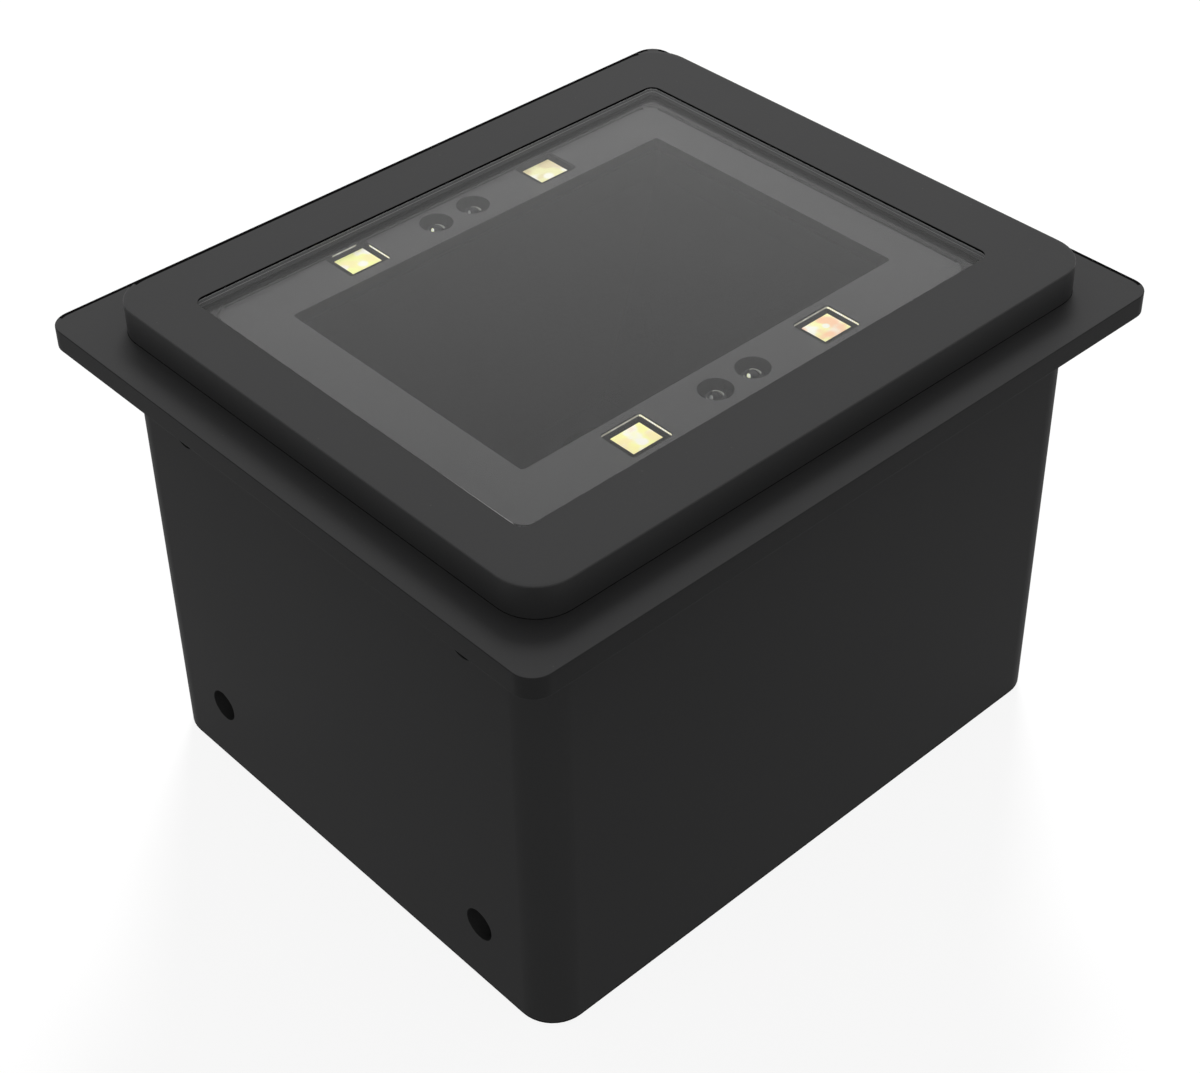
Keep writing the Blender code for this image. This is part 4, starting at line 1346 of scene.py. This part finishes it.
@dataclass
class FrontFrame:
    """Flange, raised bezel with the window recess, rebate and skirt, in one moulding."""

    flange_corner: float = 2.2 * MM
    housing_corner: float = 3.8 * MM
    bezel_corner: float = 4.2 * MM
    bezel_proud_x: float = 0.45 * MM
    bezel_proud_y: float = 0.3 * MM
    bezel_rise: float = 3.35 * MM
    flange_thickness: float = 2.3 * MM
    window_corner: float = 1.1 * MM
    ledge_corner: float = 2.3 * MM
    rebate_depth: float = 0.6 * MM
    skirt_corner: float = 1.5 * MM
    skirt_wall: float = 1.3 * MM
    skirt_inner_corner: float = 0.4 * MM
    top_round: float = 0.12 * MM
    flange_round: float = 0.1 * MM
    root_round: float = 0.045 * MM
    recess_round: float = 0.03 * MM
    bezel_back_set: float = 0.25 * MM
    # Width of the near-black strip of painted shade along the far edges of the tops.
    painted_shade_strip: float = 0.36 * MM

    def build(self) -> None:
        """Loft the moulding from the ledge of the window round to the inside of the skirt."""
        low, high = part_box("front_frame")
        top = high[2]
        flange_top = top - self.bezel_rise
        flange_bottom = flange_top - self.flange_thickness
        ledge_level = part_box("window_gasket")[0][2] - SEAT_GAP
        housing = Outline.of_node("housing", self.housing_corner)
        flange = Outline.of_node("front_frame", self.flange_corner)
        bezel = housing.grown(self.bezel_proud_x, self.bezel_proud_y, self.bezel_corner)
        bezel = bezel.moved(0.0, 0.0, 0.0, -self.bezel_back_set)
        window = Outline.of_node("window_glass", self.window_corner, SEAT_GAP)
        ledge = Outline.of_node("light_mask", self.ledge_corner, SEAT_GAP)
        skirt = Outline.of_node("rear_cover", self.skirt_corner)
        inner = skirt.grown(-self.skirt_wall, corner=self.skirt_inner_corner)
        rebate_top = flange_bottom + self.rebate_depth
        loft = Loft().at(ledge, flange_bottom, ledge_level).at(window, ledge_level)
        loft.fillet(window, top, self.recess_round, Wall.INNER, Face.UP, from_wall=True)
        loft.at(bezel.grown(-self.top_round - self.painted_shade_strip), top)
        loft.fillet(bezel, top, self.top_round, Wall.OUTER, Face.UP)
        loft.fillet(bezel, flange_top, self.root_round, Wall.INNER, Face.DOWN, from_wall=True)
        loft.at(flange.grown(-self.flange_round - self.painted_shade_strip), flange_top)
        loft.fillet(flange, flange_top, self.flange_round, Wall.OUTER, Face.UP)
        loft.fillet(
            flange, flange_bottom, self.flange_round, Wall.OUTER, Face.DOWN, from_wall=True
        )
        loft.at(housing.grown(SEAT_GAP), flange_bottom, rebate_top)
        loft.at(skirt, rebate_top, low[2]).at(inner, low[2], flange_bottom)
        data = data_of("front_frame", loft.mesh(closed=True))
        near_bezel, near_window = bezel.grown(MM), window.grown(5 * HAIR)
        back = bezel.y + bezel.width / 2 - self.top_round - self.painted_shade_strip
        strip = self.flange_round + self.painted_shade_strip
        # Painted shade (dark): strips along the far edges of the flange and bezel tops, the crease
        # at the bezel's foot and the walls of the window recess get the near-black finish.
        for polygon in data.polygons:
            place, normal = polygon.center, polygon.normal
            outside = not near_bezel.holds(place)
            far = place.y > high[1] - strip or place.x > high[0] - strip
            dark = (
                far and place.z > flange_top - self.flange_round / 2,
                place.z > top - self.top_round / 2 and place.y > back and normal.y > -SLIGHT,
                flange_top < place.z < flange_top + self.root_round and not outside,
                near_window.holds(place) and place.z > ledge_level and normal.z < HALFWAY,
            )
            edge = outside and flange_bottom < place.z <= flange_top and normal.z < LEVEL
            polygon.material_index = 2 if any(dark) else int(edge)
        finishes = [FRAME_PLASTIC, FLANGE_EDGE, FRAME_PAINTED_SHADE]
        show("front_frame_moulding", data, finishes, ["front_frame"])


@dataclass
class Housing:
    """Deep body with its seal ledge, screw columns and side screw holes."""

    corner: float = 3.8 * MM
    wall: float = 2.0 * MM
    rim_round: float = 0.15 * MM
    # Height of the band above the foot's round that is painted near black as shade.
    rim_band: float = 0.12 * MM
    inner_round: float = 0.15 * MM
    ledge_bottom: float = 4.4 * MM
    ledge_top: float = 5.9 * MM
    ledge_width: float = 1.2 * MM
    column_radius: float = 3.4 * MM
    column_top: float = 45.65 * MM
    fill_share: float = 0.8
    fill_corner: float = 0.05 * MM
    bore_radius: float = 1.7 * MM
    screw_inset: float = 5.75 * MM
    side_hole_radius: float = 1.7 * MM
    side_hole_depth: float = 4.2 * MM
    side_hole_inset: float = 9.55 * MM
    side_hole_levels: tuple[float, float] = (7.55 * MM, 42.55 * MM)
    side_hole_chamfer: float = 0.04 * MM
    drill_tip_share: float = 0.3
    side_boss_half: float = 3.1 * MM
    side_boss_depth: float = 3.0 * MM
    side_boss_corner: float = 0.3 * MM

    def hole(self, side: int, y: float, z: float) -> Shape:
        """A blind screw hole in an end wall, with a fine chamfer at its mouth.

        Args:
            side: -1 for the left end and 1 for the right end.
            y: The hole's place across the end.
            z: The hole's height.

        Returns:
            The shape to cut away.
        """
        radius, chamfer = self.side_hole_radius, self.side_hole_chamfer
        depth = self.side_hole_depth
        wide, tip = radius + chamfer + MM, depth - radius * self.drill_tip_share
        shape = lathe([(0.0, -MM), (wide, -MM), (radius, chamfer), (radius, tip), (0.0, depth)])
        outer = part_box("housing")[int(side > 0)][0]
        turn = Matrix.Rotation(-side * math.pi / 2, 4, "Y")
        shape.transform(Matrix.Translation((outer, y, z)) @ turn)
        bmesh.ops.recalc_face_normals(shape, faces=shape.faces)
        return shape

    def column(self, x: float, y: float, low: float, high: float) -> tuple[list[Shape], Shape]:
        """A screw column with the fill that ties it to its corner of the body, and its bore.

        Args:
            x: The column's middle along the reader.
            y: The column's middle across the reader.
            low: The height of the housing's bottom.
            high: The height of the housing's top.

        Returns:
            The shapes to join and the shape to cut away.
        """
        bottom = (self.ledge_bottom + self.ledge_top) / 2
        reach = self.column_radius * self.fill_share
        corner_x, corner_y = x + math.copysign(reach, x), y + math.copysign(reach, y)
        fill = Outline(corner_x, corner_y, reach, reach, self.fill_corner)
        post = pillar(Outline.circle(x, y, self.column_radius), bottom, self.column_top)
        bore = pillar(Outline.circle(x, y, self.bore_radius), low + MM, high)
        return [post, pillar(fill, bottom + MM, self.column_top - MM)], bore

    def build(self) -> None:
        """Loft the walls, join the columns and bosses, and bore every hole."""
        low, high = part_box("housing")
        outer = Outline.of_node("housing", self.corner)
        cavity = outer.grown(-self.wall)
        ledge = cavity.grown(-self.ledge_width)
        rim_top = low[2] + self.rim_round + self.rim_band
        loft = Loft().fillet(outer, high[2], self.inner_round, Wall.OUTER, Face.UP)
        loft.at(outer, rim_top)
        loft.fillet(outer, low[2], self.rim_round, Wall.OUTER, Face.DOWN, from_wall=True)
        loft.fillet(cavity, low[2], self.inner_round, Wall.INNER, Face.DOWN)
        loft.at(cavity, self.ledge_bottom).at(ledge, self.ledge_bottom, self.ledge_top)
        loft.at(cavity, self.ledge_top, high[2])
        joins, cuts = [], []
        half_x, half_y = high[0] - self.screw_inset, high[1] - self.screw_inset
        for x, y in ((-half_x, -half_y), (-half_x, half_y), (half_x, -half_y), (half_x, half_y)):
            solids, bore = self.column(x, y, low[2], high[2])
            joins += solids
            cuts.append(bore)
        hole_y, half = high[1] - self.side_hole_inset, self.side_boss_half
        boss_x = high[0] - self.wall * 0.75 - self.side_boss_depth / 2
        boss_length = self.side_boss_depth + self.wall / 2
        places = [(y, z) for y in (-hole_y, hole_y) for z in self.side_hole_levels]
        for side in (-1, 1):
            for y, z in places:
                boss = Outline(side * boss_x, y, boss_length, 2 * half, self.side_boss_corner)
                joins.append(pillar(boss, z - half, z + half))
                cuts.append(self.hole(side, y, z))
        data = combined(loft.mesh(closed=True), joins, cuts)
        mouth = self.side_hole_radius + self.side_hole_chamfer
        # Painted shade: the walls of the side holes are painted darker and the band round the foot
        # near black.
        for polygon in data.polygons:
            place = polygon.center
            depth = high[0] - abs(place.x)
            beside = min(math.hypot(place.y - y, place.z - z) for y, z in places)
            if beside < mouth and HAIR < depth < self.side_hole_depth:
                polygon.material_index = 2
            elif low[2] < place.z < rim_top and not cavity.holds(place):
                polygon.material_index = 1
        finishes = [CASE_PLASTIC, FRAME_PAINTED_SHADE, BORE_PAINTED_SHADE]
        show("housing_moulding", data, finishes, ["housing"])


@dataclass
class Window:
    """Glass with fine ground edges, and the foam gasket under its rim."""

    corner: float = 0.8 * MM
    near_gap: float = 0.02 * MM
    far_gap: float = 0.13 * MM
    ground_edge: float = 0.06 * MM
    side_bands: tuple[float, ...] = (1.15 * MM, 0.95 * MM, 0.3 * MM, 0.12 * MM)
    painted_reflection_bands: tuple[int, int] = (2, 4)
    ledge_corner: float = 2.3 * MM
    gasket_round: float = 0.1 * MM

    def pane(self) -> None:
        """Loft the glass, with pale bands painted on its sides as reflections and a glowing
        painted highlight at the left end of its top edge.
        """
        low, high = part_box("window_glass")
        near, far = SEAT_GAP - self.near_gap, SEAT_GAP - self.far_gap
        glass = Outline.of_node("window_glass", self.corner).moved(near, far, near, far)
        ground = glass.grown(-self.ground_edge)
        loft = Loft().at(ground, low[2]).at(glass, low[2] + self.ground_edge)
        loft.at(glass, *(high[2] - depth for depth in (*self.side_bands, self.ground_edge)))
        loft.at(ground, high[2])
        data = data_of("window", loft.mesh(closed=False))
        count, rings = len(loft.loops[0]), len(loft.loops) - 1
        # Painted reflection: two bands of the sides are pale; painted highlight: the left end of
        # the top chamfer glows.
        for index, polygon in enumerate(data.polygons[: rings * count]):
            ring = index // count
            polygon.material_index = 2 if ring in self.painted_reflection_bands else 1
            if ring == rings - 1 and polygon.normal.x < -HALFWAY:
                polygon.material_index = 3
        finishes = [WINDOW_GLASS, GROUND_EDGE, EDGE_PAINTED_REFLECTION, EDGE_PAINTED_HIGHLIGHT]
        show("window_pane", data, finishes, ["window_glass"])

    def gasket(self) -> None:
        """Loft the ring of foam, cut back at the left end for the mask's lip."""
        low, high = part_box("window_gasket")
        outer = Outline.of_node("window_gasket", self.corner)
        inner = Outline.of_node("light_mask", self.ledge_corner, SEAT_GAP)
        inner = inner.moved(MASK_LIP - SEAT_GAP / 2, 0.0, 0.0, 0.0)
        ring = Loft()
        ring.fillet(outer, high[2], self.gasket_round, Wall.OUTER, Face.UP)
        ring.fillet(outer, low[2], self.gasket_round, Wall.OUTER, Face.DOWN, from_wall=True)
        ring.fillet(inner, low[2], self.gasket_round, Wall.INNER, Face.DOWN)
        ring.fillet(inner, high[2], self.gasket_round, Wall.INNER, Face.UP, from_wall=True)
        data = data_of("gasket", ring.mesh(closed=True))
        show("gasket_ring", data, [GASKET_FOAM], ["window_gasket"])

    def build(self) -> None:
        """Build the glass and the gasket."""
        self.pane()
        self.gasket()


class Lip(Enum):
    """How bright the glowing painted highlight on the top of an inner face of an LED collar is, by
    its material index.
    """

    DARK = 0
    BRIGHT = 1
    DULL = 2


@dataclass
class LightTray:
    """Grey mask with its wells, the LEDs in their collars and the aiming LEDs."""

    mask_corner: float = 2.0 * MM
    mask_edge: float = 0.03 * MM
    lip_thickness: float = 0.25 * MM
    pale_inset: float = 0.02 * MM
    # Widths of the strips of painted shade along the right and back ends of the mask's top.
    painted_shade_right: float = 0.32 * MM
    painted_shade_back: float = 0.33 * MM
    opening_inset: tuple[float, ...] = (4.83 * MM, 4.41 * MM, 6.06 * MM, 5.66 * MM)
    opening_corner: float = 0.4 * MM
    well_clearance: float = 0.2 * MM
    well_corner: float = 0.5 * MM
    aimer_well_top: float = 1.68 * MM
    aimer_well_end: float = 1.25 * MM
    collar_wall: float = 0.1 * MM
    lip_depth: float = 0.19 * MM
    led_corner: float = 0.12 * MM
    led_edge: float = 0.08 * MM
    led_base: float = 0.25 * MM
    led_foot: float = 0.03 * MM
    led_step: float = 0.04 * MM
    led_rise: float = 0.08 * MM
    cast_lean: float = 0.6
    collar_rise: float = 0.15 * MM
    collar_growths: tuple[float, ...] = (0.19 * MM, 0.15 * MM, 0.19 * MM, 0.15 * MM)
    collar_corner: float = 0.35 * MM
    lip_gaps: tuple[float, ...] = (0.0, 0.0, 0.9 * MM, 0.0)
    dome_radius: float = 0.58 * MM
    rim_inner: float = 0.7 * MM
    rim_outer: float = 0.82 * MM
    rim_height: float = 0.22 * MM
    # Height of the top band of the rim's inner wall that can get the painted highlight.
    rim_band: float = 0.15 * MM
    aimer_step: float = 0.05 * MM
    aimer_shifts: tuple[tuple[float, float], ...] = (
        (0.0, 0.0), (0.0, 0.0), (-0.13 * MM, -0.3 * MM), (-0.15 * MM, -0.28 * MM)
    )
    # Direction and reach, in degrees, of the painted glint on the domes.
    glint_azimuth: float = 175.0
    glint_height: float = 22.0
    glint_reach: float = 24.0
    bright_glint_aimers: tuple[int, ...] = (2, 3)
    rim_share: float = 0.55
    aimer_shoulder: float = 0.8
    lips: tuple[tuple[Lip, Lip], ...] = (
        (Lip.BRIGHT, Lip.DULL), (Lip.BRIGHT, Lip.DULL), (Lip.BRIGHT, Lip.DULL),
        (Lip.DARK, Lip.DARK),
    )

    def aimer_place(self, number: int) -> Vector:
        """Find where an aiming LED stands.

        Args:
            number: The LED's number.

        Returns:
            Its place in plan, at a height of 0.
        """
        centre = Outline.of_node(f"aiming_led_{number}", 0.0)
        shift = self.aimer_shifts[number - 1]
        return Vector((centre.x + shift[0], centre.y + shift[1], 0.0))

    def mask(self) -> None:
        """Cut the opening and the wells into the mask plate."""
        low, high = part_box("light_mask")
        plate = Outline.of_node("light_mask", self.mask_corner)
        under, over = low[2] - MM, high[2] + MM
        opening = replace(plate, corner=self.opening_corner)
        opening = opening.moved(*(-inset for inset in self.opening_inset))
        cuts = [pillar(opening, under, over)]
        for number in FOURS:
            collar = f"led_collar_{number}"
            well = Outline.of_node(collar, self.well_corner, self.well_clearance)
            cuts.append(pillar(well, under, over))
        slope = (self.aimer_well_top - self.aimer_well_end) / (high[2] - low[2]) * MM
        bottom, mouth = self.aimer_well_end - slope, self.aimer_well_top + slope
        for number in FOURS:
            cone = lathe([(0.0, under), (bottom, under), (mouth, over), (0.0, over)])
            cone.transform(Matrix.Translation(self.aimer_place(number)))
            cuts.append(cone)
        lip = plate.moved(MASK_LIP, 0.0, 0.0, 0.0)
        inset = -self.pale_inset
        pale = lip.moved(inset, -self.painted_shade_right, inset, -self.painted_shade_back)
        base = Loft().at(plate, low[2], high[2] - self.lip_thickness)
        base.at(lip, high[2] - self.lip_thickness, high[2]).at(pale, high[2])
        data = combined(base.mesh(closed=False), cuts=cuts, soften=self.mask_edge)
        right_end, back_end = pale.x + pale.length / 2, pale.y + pale.width / 2
        # Painted shade: the walls of the opening and the wells, and the strips along the right and
        # back ends, get the near-black finish.
        for polygon in data.polygons:
            beyond = polygon.center.x > right_end or polygon.center.y > back_end
            polygon.material_index = int(polygon.normal.z < HALFWAY or beyond)
        show("mask_plate", data, [MASK_PLASTIC, MASK_PAINTED_SHADE], ["light_mask"])

    def led(self, number: int) -> None:
        """A white LED: dark package below, mottled phosphor above.

        Args:
            number: The LED's number.
        """
        node = f"illumination_led_{number}"
        low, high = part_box(node)
        where = Outline.of_node(node, self.led_corner)
        package = where.centred()
        cast = package.grown(-self.led_step)
        height = high[2] - low[2] + self.led_rise
        loft = Loft().at(package.grown(-self.led_foot), 0.0)
        loft.at(package, self.led_foot, self.led_base).at(cast, self.led_base + self.led_step / 2)
        loft.fillet(cast, height, self.led_edge, Wall.OUTER, Face.UP, from_wall=True)
        data = data_of(node, loft.mesh(closed=False))
        for polygon in data.polygons:
            polygon.material_index = int(polygon.normal.z < self.cast_lean)
        finishes = [PHOSPHORS[number - 1], COLLAR_PLASTIC]
        show(f"white_led_{number}", data, finishes, [node], (where.x, where.y, low[2]))

    def collar(self, number: int) -> None:
        """A thin square collar round an LED, with glowing painted highlights on the tops of two
        inner faces, as if lit by it.

        Args:
            number: The collar's number.
        """
        node = f"led_collar_{number}"
        low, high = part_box(node)
        where = Outline.of_node(node, self.collar_corner, self.collar_growths[number - 1])
        outer = where.centred()
        inner = outer.grown(-self.collar_wall)
        height = high[2] - low[2] + self.collar_rise
        ring = Loft().at(inner, 0.0, height - self.lip_depth, height).at(outer, height, 0.0)
        shape = ring.mesh(closed=True)
        gap = self.lip_gaps[number - 1]
        right_end, back_end = inner.length / 2 - gap, inner.width / 2 - gap
        if gap:
            along, across = Vector((1, 0, 0)), Vector((0, 1, 0))
            for end, axis in ((right_end, along), (back_end, across), (-right_end, along)):
                parts = [*shape.verts, *shape.edges, *shape.faces]
                bmesh.ops.bisect_plane(shape, geom=parts, plane_co=axis * end, plane_no=axis)
        data = data_of(node, shape)
        right, back = self.lips[number - 1]
        around = inner.grown(2 * HAIR)
        # Painted highlight: the tops of two inner faces get a glowing finish.
        for polygon in data.polygons:
            place, facing = polygon.center, polygon.normal
            below = place.z < height - self.lip_depth
            if below or abs(facing.z) > SLIGHT or not around.holds(place):
                continue
            if facing.x < -SQUARE and place.y < back_end:
                polygon.material_index = right.value
            elif facing.y < -SQUARE and abs(place.x) < right_end:
                polygon.material_index = back.value
        finishes = [COLLAR_PLASTIC, LIP_PAINTED_HIGHLIGHT, LIP_DIM_PAINTED_HIGHLIGHT]
        show(f"collar_{number}", data, finishes, [node], (where.x, where.y, low[2]))

    def aimer(self, number: int) -> None:
        """A small domed LED with a step round its dome, a glowing painted glint on one side of the
        dome and a glowing painted highlight on part of its rim.

        Args:
            number: The LED's number.
        """
        node = f"aiming_led_{number}"
        low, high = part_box(node)
        height = high[2] - low[2]
        base, dome = (high[0] - low[0]) / 2, self.dome_radius
        rise = height - dome
        rim, ditch = rise + self.rim_height, rise - self.aimer_step
        profile = [
            (0.0, 0.0), (base, 0.0), (base, rise * self.aimer_shoulder),
            (base - self.aimer_step, rise), (self.rim_outer, rise),
            (self.rim_outer, rim), (self.rim_inner, rim),
            (self.rim_inner, rim - self.rim_band), (self.rim_inner, ditch), (dome, ditch),
        ]
        for step in range(DOME_STEPS):
            angle = math.pi / 2 * step / DOME_STEPS
            profile.append((dome * math.cos(angle), rise + dome * math.sin(angle)))
        profile.append((0.0, height))
        data = data_of(node, lathe(profile, FINE_LATHE_STEPS))
        # Painted glint: dome faces turned towards this direction get a glowing finish.
        spark = direction(self.glint_azimuth, self.glint_height)
        for polygon in data.polygons:
            middle, facing = polygon.center, polygon.normal
            out = middle.xy.length
            if out < dome:
                lit = middle.z > rise and facing.angle(spark) < math.radians(self.glint_reach)
                polygon.material_index = int(lit)
                continue
            # Painted highlight: the top band of the rim's inner wall that faces one way, and the
            # ledge behind it, glow.
            wall = middle.z > rim - self.rim_band and facing.dot(RIM_HIGHLIGHT_FACING) > self.rim_share
            ledge = facing.z > LEVEL and middle.z > rim - HAIR and out < self.rim_outer
            behind = middle.normalized().dot(RIM_HIGHLIGHT_FACING) < -self.rim_share
            if wall or (ledge and behind):
                polygon.material_index = 2
        glint = LENS_PAINTED_GLINT if number in self.bright_glint_aimers else DIM_PAINTED_GLINT
        place = (*self.aimer_place(number).xy, low[2])
        show(f"aimer_{number}", data, [LENS_EPOXY, glint, RIM_PAINTED_HIGHLIGHT], [node], place)

    def build(self) -> None:
        """Build the mask, the LEDs, the collars and the aiming LEDs."""
        self.mask()
        for number in FOURS:
            self.led(number)
            self.collar(number)
            self.aimer(number)


@dataclass
class CarriedSolids:
    """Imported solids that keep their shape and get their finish.

    Attributes:
        finishes: Each finish with the names of its solids.
        screws: The first names of the screws, each of which comes four times.
    """

    finishes: tuple[tuple[Finish, str], ...] = ()
    screws: tuple[str, ...] = ()

    def build(self, nodes: Nodes) -> None:
        """Dress the solids.

        Args:
            nodes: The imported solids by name.
        """
        screws = " ".join(f"{kind}_{number}" for kind in self.screws for number in FOURS)
        for finish, names in (*self.finishes, (PLATED_STEEL, screws)):
            for name in names.split():
                for slot in nodes[name].material_slots:
                    slot.material = finish.material()
                LOG.info("%s: dressed in %s", name, finish.title)


@dataclass
class Optics(CarriedSolids):
    """Funnel, camera and boards with their screws."""

    finishes: tuple[tuple[Finish, str], ...] = (
        (SHROUD_PLASTIC, "light_shroud lens_holder"),
        (BLACK_ANODISE, "lens_barrel"),
        (LENS_GLASS, "front_lens"),
        (SENSOR_COVER, "image_sensor"),
        (BLACK_BOARD, "led_board"),
        (GREEN_BOARD, "sensor_board main_board"),
        (CHIP_EPOXY, "decoder_chip memory_chip beeper board_link"),
        (IVORY_PLASTIC, "flex_connector"),
        (FLEX_FILM, "light_flex"),
    )
    screws: tuple[str, ...] = ("sensor_screw", "shroud_screw", "board_screw")


@dataclass
class RearEnd(CarriedSolids):
    """Rear cover with its seal, cable socket and case screws."""

    finishes: tuple[tuple[Finish, str], ...] = (
        (CASE_PLASTIC, "rear_cover"), (GASKET_FOAM, "rear_seal"), (SOCKET_PLASTIC, "cable_socket")
    )
    screws: tuple[str, ...] = ("case_screw",)


# Studio


@dataclass(frozen=True)
class PhotoCamera:
    """The camera at the photograph's place."""

    place: tuple[float, float, float] = (-0.123061, -0.134052, 0.173080)
    right: tuple[float, float, float] = (0.728765, -0.684709, -0.008711)
    up: tuple[float, float, float] = (0.417718, 0.434444, 0.797979)
    sensor: float = 36.0
    lens: float = 69.84
    shift_x: float = -0.01193
    shift_y: float = -0.09073
    nearest: float = 0.01
    farthest: float = 20.0

    def build(self) -> None:
        """Create the camera and make it the scene's own."""
        data = bpy.data.cameras.new("photo_camera")
        data.sensor_fit = "HORIZONTAL"
        data.sensor_width = self.sensor
        data.lens = self.lens
        data.shift_x = self.shift_x
        data.shift_y = self.shift_y
        data.clip_start = self.nearest
        data.clip_end = self.farthest
        camera = placed("photo_camera", data)
        right = Vector(self.right).normalized()
        back = right.cross(Vector(self.up)).normalized()
        turn = Matrix((right, back.cross(right), back)).transposed().to_4x4()
        camera.matrix_world = Matrix.Translation(self.place) @ turn
        bpy.context.scene.camera = camera


@dataclass(frozen=True)
class SoftLamp:
    """A wide, far lamp that lights the whole floor evenly.

    Attributes:
        title: The lamp's name.
        azimuth: Its direction in plan, in degrees from +X towards +Y.
        height: Its height above the horizon, in degrees.
        spread: How wide it looks from the reader, in degrees.
        strength: Its irradiance in watts for each square metre.
    """

    title: str
    azimuth: float
    height: float
    spread: float
    strength: float

    def build(self) -> None:
        """Create the lamp and turn it to the reader."""
        data = bpy.data.lights.new(self.title, "SUN")
        data.angle = math.radians(self.spread)
        data.energy = self.strength
        away = direction(self.azimuth, self.height)
        lamp = placed(self.title, data, away)
        lamp.rotation_euler = (-away).to_track_quat("-Z", "Y").to_euler()
        lamp.visible_glossy = False
        lamp.visible_transmission = False


@dataclass(frozen=True)
class Studio:
    """Pale floor, white surroundings and soft lamps."""

    floor_radius: float = 3.0
    floor_level: float = -0.2 * MM
    floor_colour: Colour = (0.15, 0.15, 0.15)
    floor_roughness: float = 0.9
    floor_glow: float = 0.88
    ambient: float = 0.32
    lamps: tuple[SoftLamp, ...] = (
        SoftLamp("key_lamp", 43.0, 44.0, 16.0, 2.8),
        SoftLamp("left_lamp", 231.0, 24.0, 12.0, 0.64),
    )

    @staticmethod
    def by_sight(wiring: Wiring, unseen: bpy.types.Node, seen: bpy.types.Node) -> Socket:
        """Pick one shader for light, and one for what the camera, gloss and glass see.

        Args:
            wiring: The wiring of the tree.
            unseen: The shader for rays that only gather light.
            seen: The shader for rays that see the surroundings.

        Returns:
            The mixed shader.
        """
        path = wiring.add("LightPath").outputs
        sight = wiring.maths("MAXIMUM", path["Is Camera Ray"], path["Is Glossy Ray"])
        sight = wiring.maths("MAXIMUM", sight, path["Is Transmission Ray"])
        shaders = {0: sight, 1: unseen.outputs[0], 2: seen.outputs[0]}
        return wiring.add("MixShader", shaders).outputs[0]

    def floor(self) -> None:
        """Lay a wide round floor that looks white and takes the reader's shadow."""
        shape = bmesh.new()
        bmesh.ops.create_circle(shape, cap_ends=True, segments=96, radius=self.floor_radius)
        material = bpy.data.materials.new("studio_floor")
        wiring = Wiring.of(material)
        look = {"Base Color": self.floor_colour, "Roughness": self.floor_roughness}
        shader = wiring.add("BsdfPrincipled", {**look, "Specular IOR Level": 0.0})
        glow = wiring.add("Emission", {"Color": WHITE, "Strength": self.floor_glow})
        lit = wiring.add("AddShader", {0: shader.outputs[0], 1: glow.outputs[0]})
        wiring.add("OutputMaterial", {"Surface": self.by_sight(wiring, shader, lit)})
        data = data_of("floor", shape)
        data.materials.append(material)
        floor = placed("floor", data, (0.0, 0.0, self.floor_level))

    def surroundings(self) -> None:
        """Make the world white to the eye and plainly bright as a light."""
        world = bpy.data.worlds.new("studio")
        bpy.context.scene.world = world
        wiring = Wiring.of(world)
        light = wiring.add("Background", {"Color": WHITE, "Strength": self.ambient})
        white = wiring.add("Background", {"Color": WHITE, "Strength": 1.0})
        wiring.add("OutputWorld", {"Surface": self.by_sight(wiring, light, white)})

    def build(self) -> None:
        """Lay the floor, light the scene and set the plain colour view."""
        self.floor()
        self.surroundings()
        for lamp in self.lamps:
            lamp.build()
        bpy.context.scene.view_settings.view_transform = "Standard"
        LOG.info("studio: %d lamps", len(self.lamps))


def main() -> None:
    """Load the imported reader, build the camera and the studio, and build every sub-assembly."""
    logging.basicConfig(level=logging.INFO, format="%(name)s: %(message)s")
    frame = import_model()
    nodes = frame["nodes"]
    PhotoCamera().build()
    Studio().build()
    FrontFrame().build()
    Housing().build()
    Window().build()
    LightTray().build()
    Optics().build(nodes)
    RearEnd().build(nodes)
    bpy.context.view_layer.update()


if __name__ == "__main__":
    main()
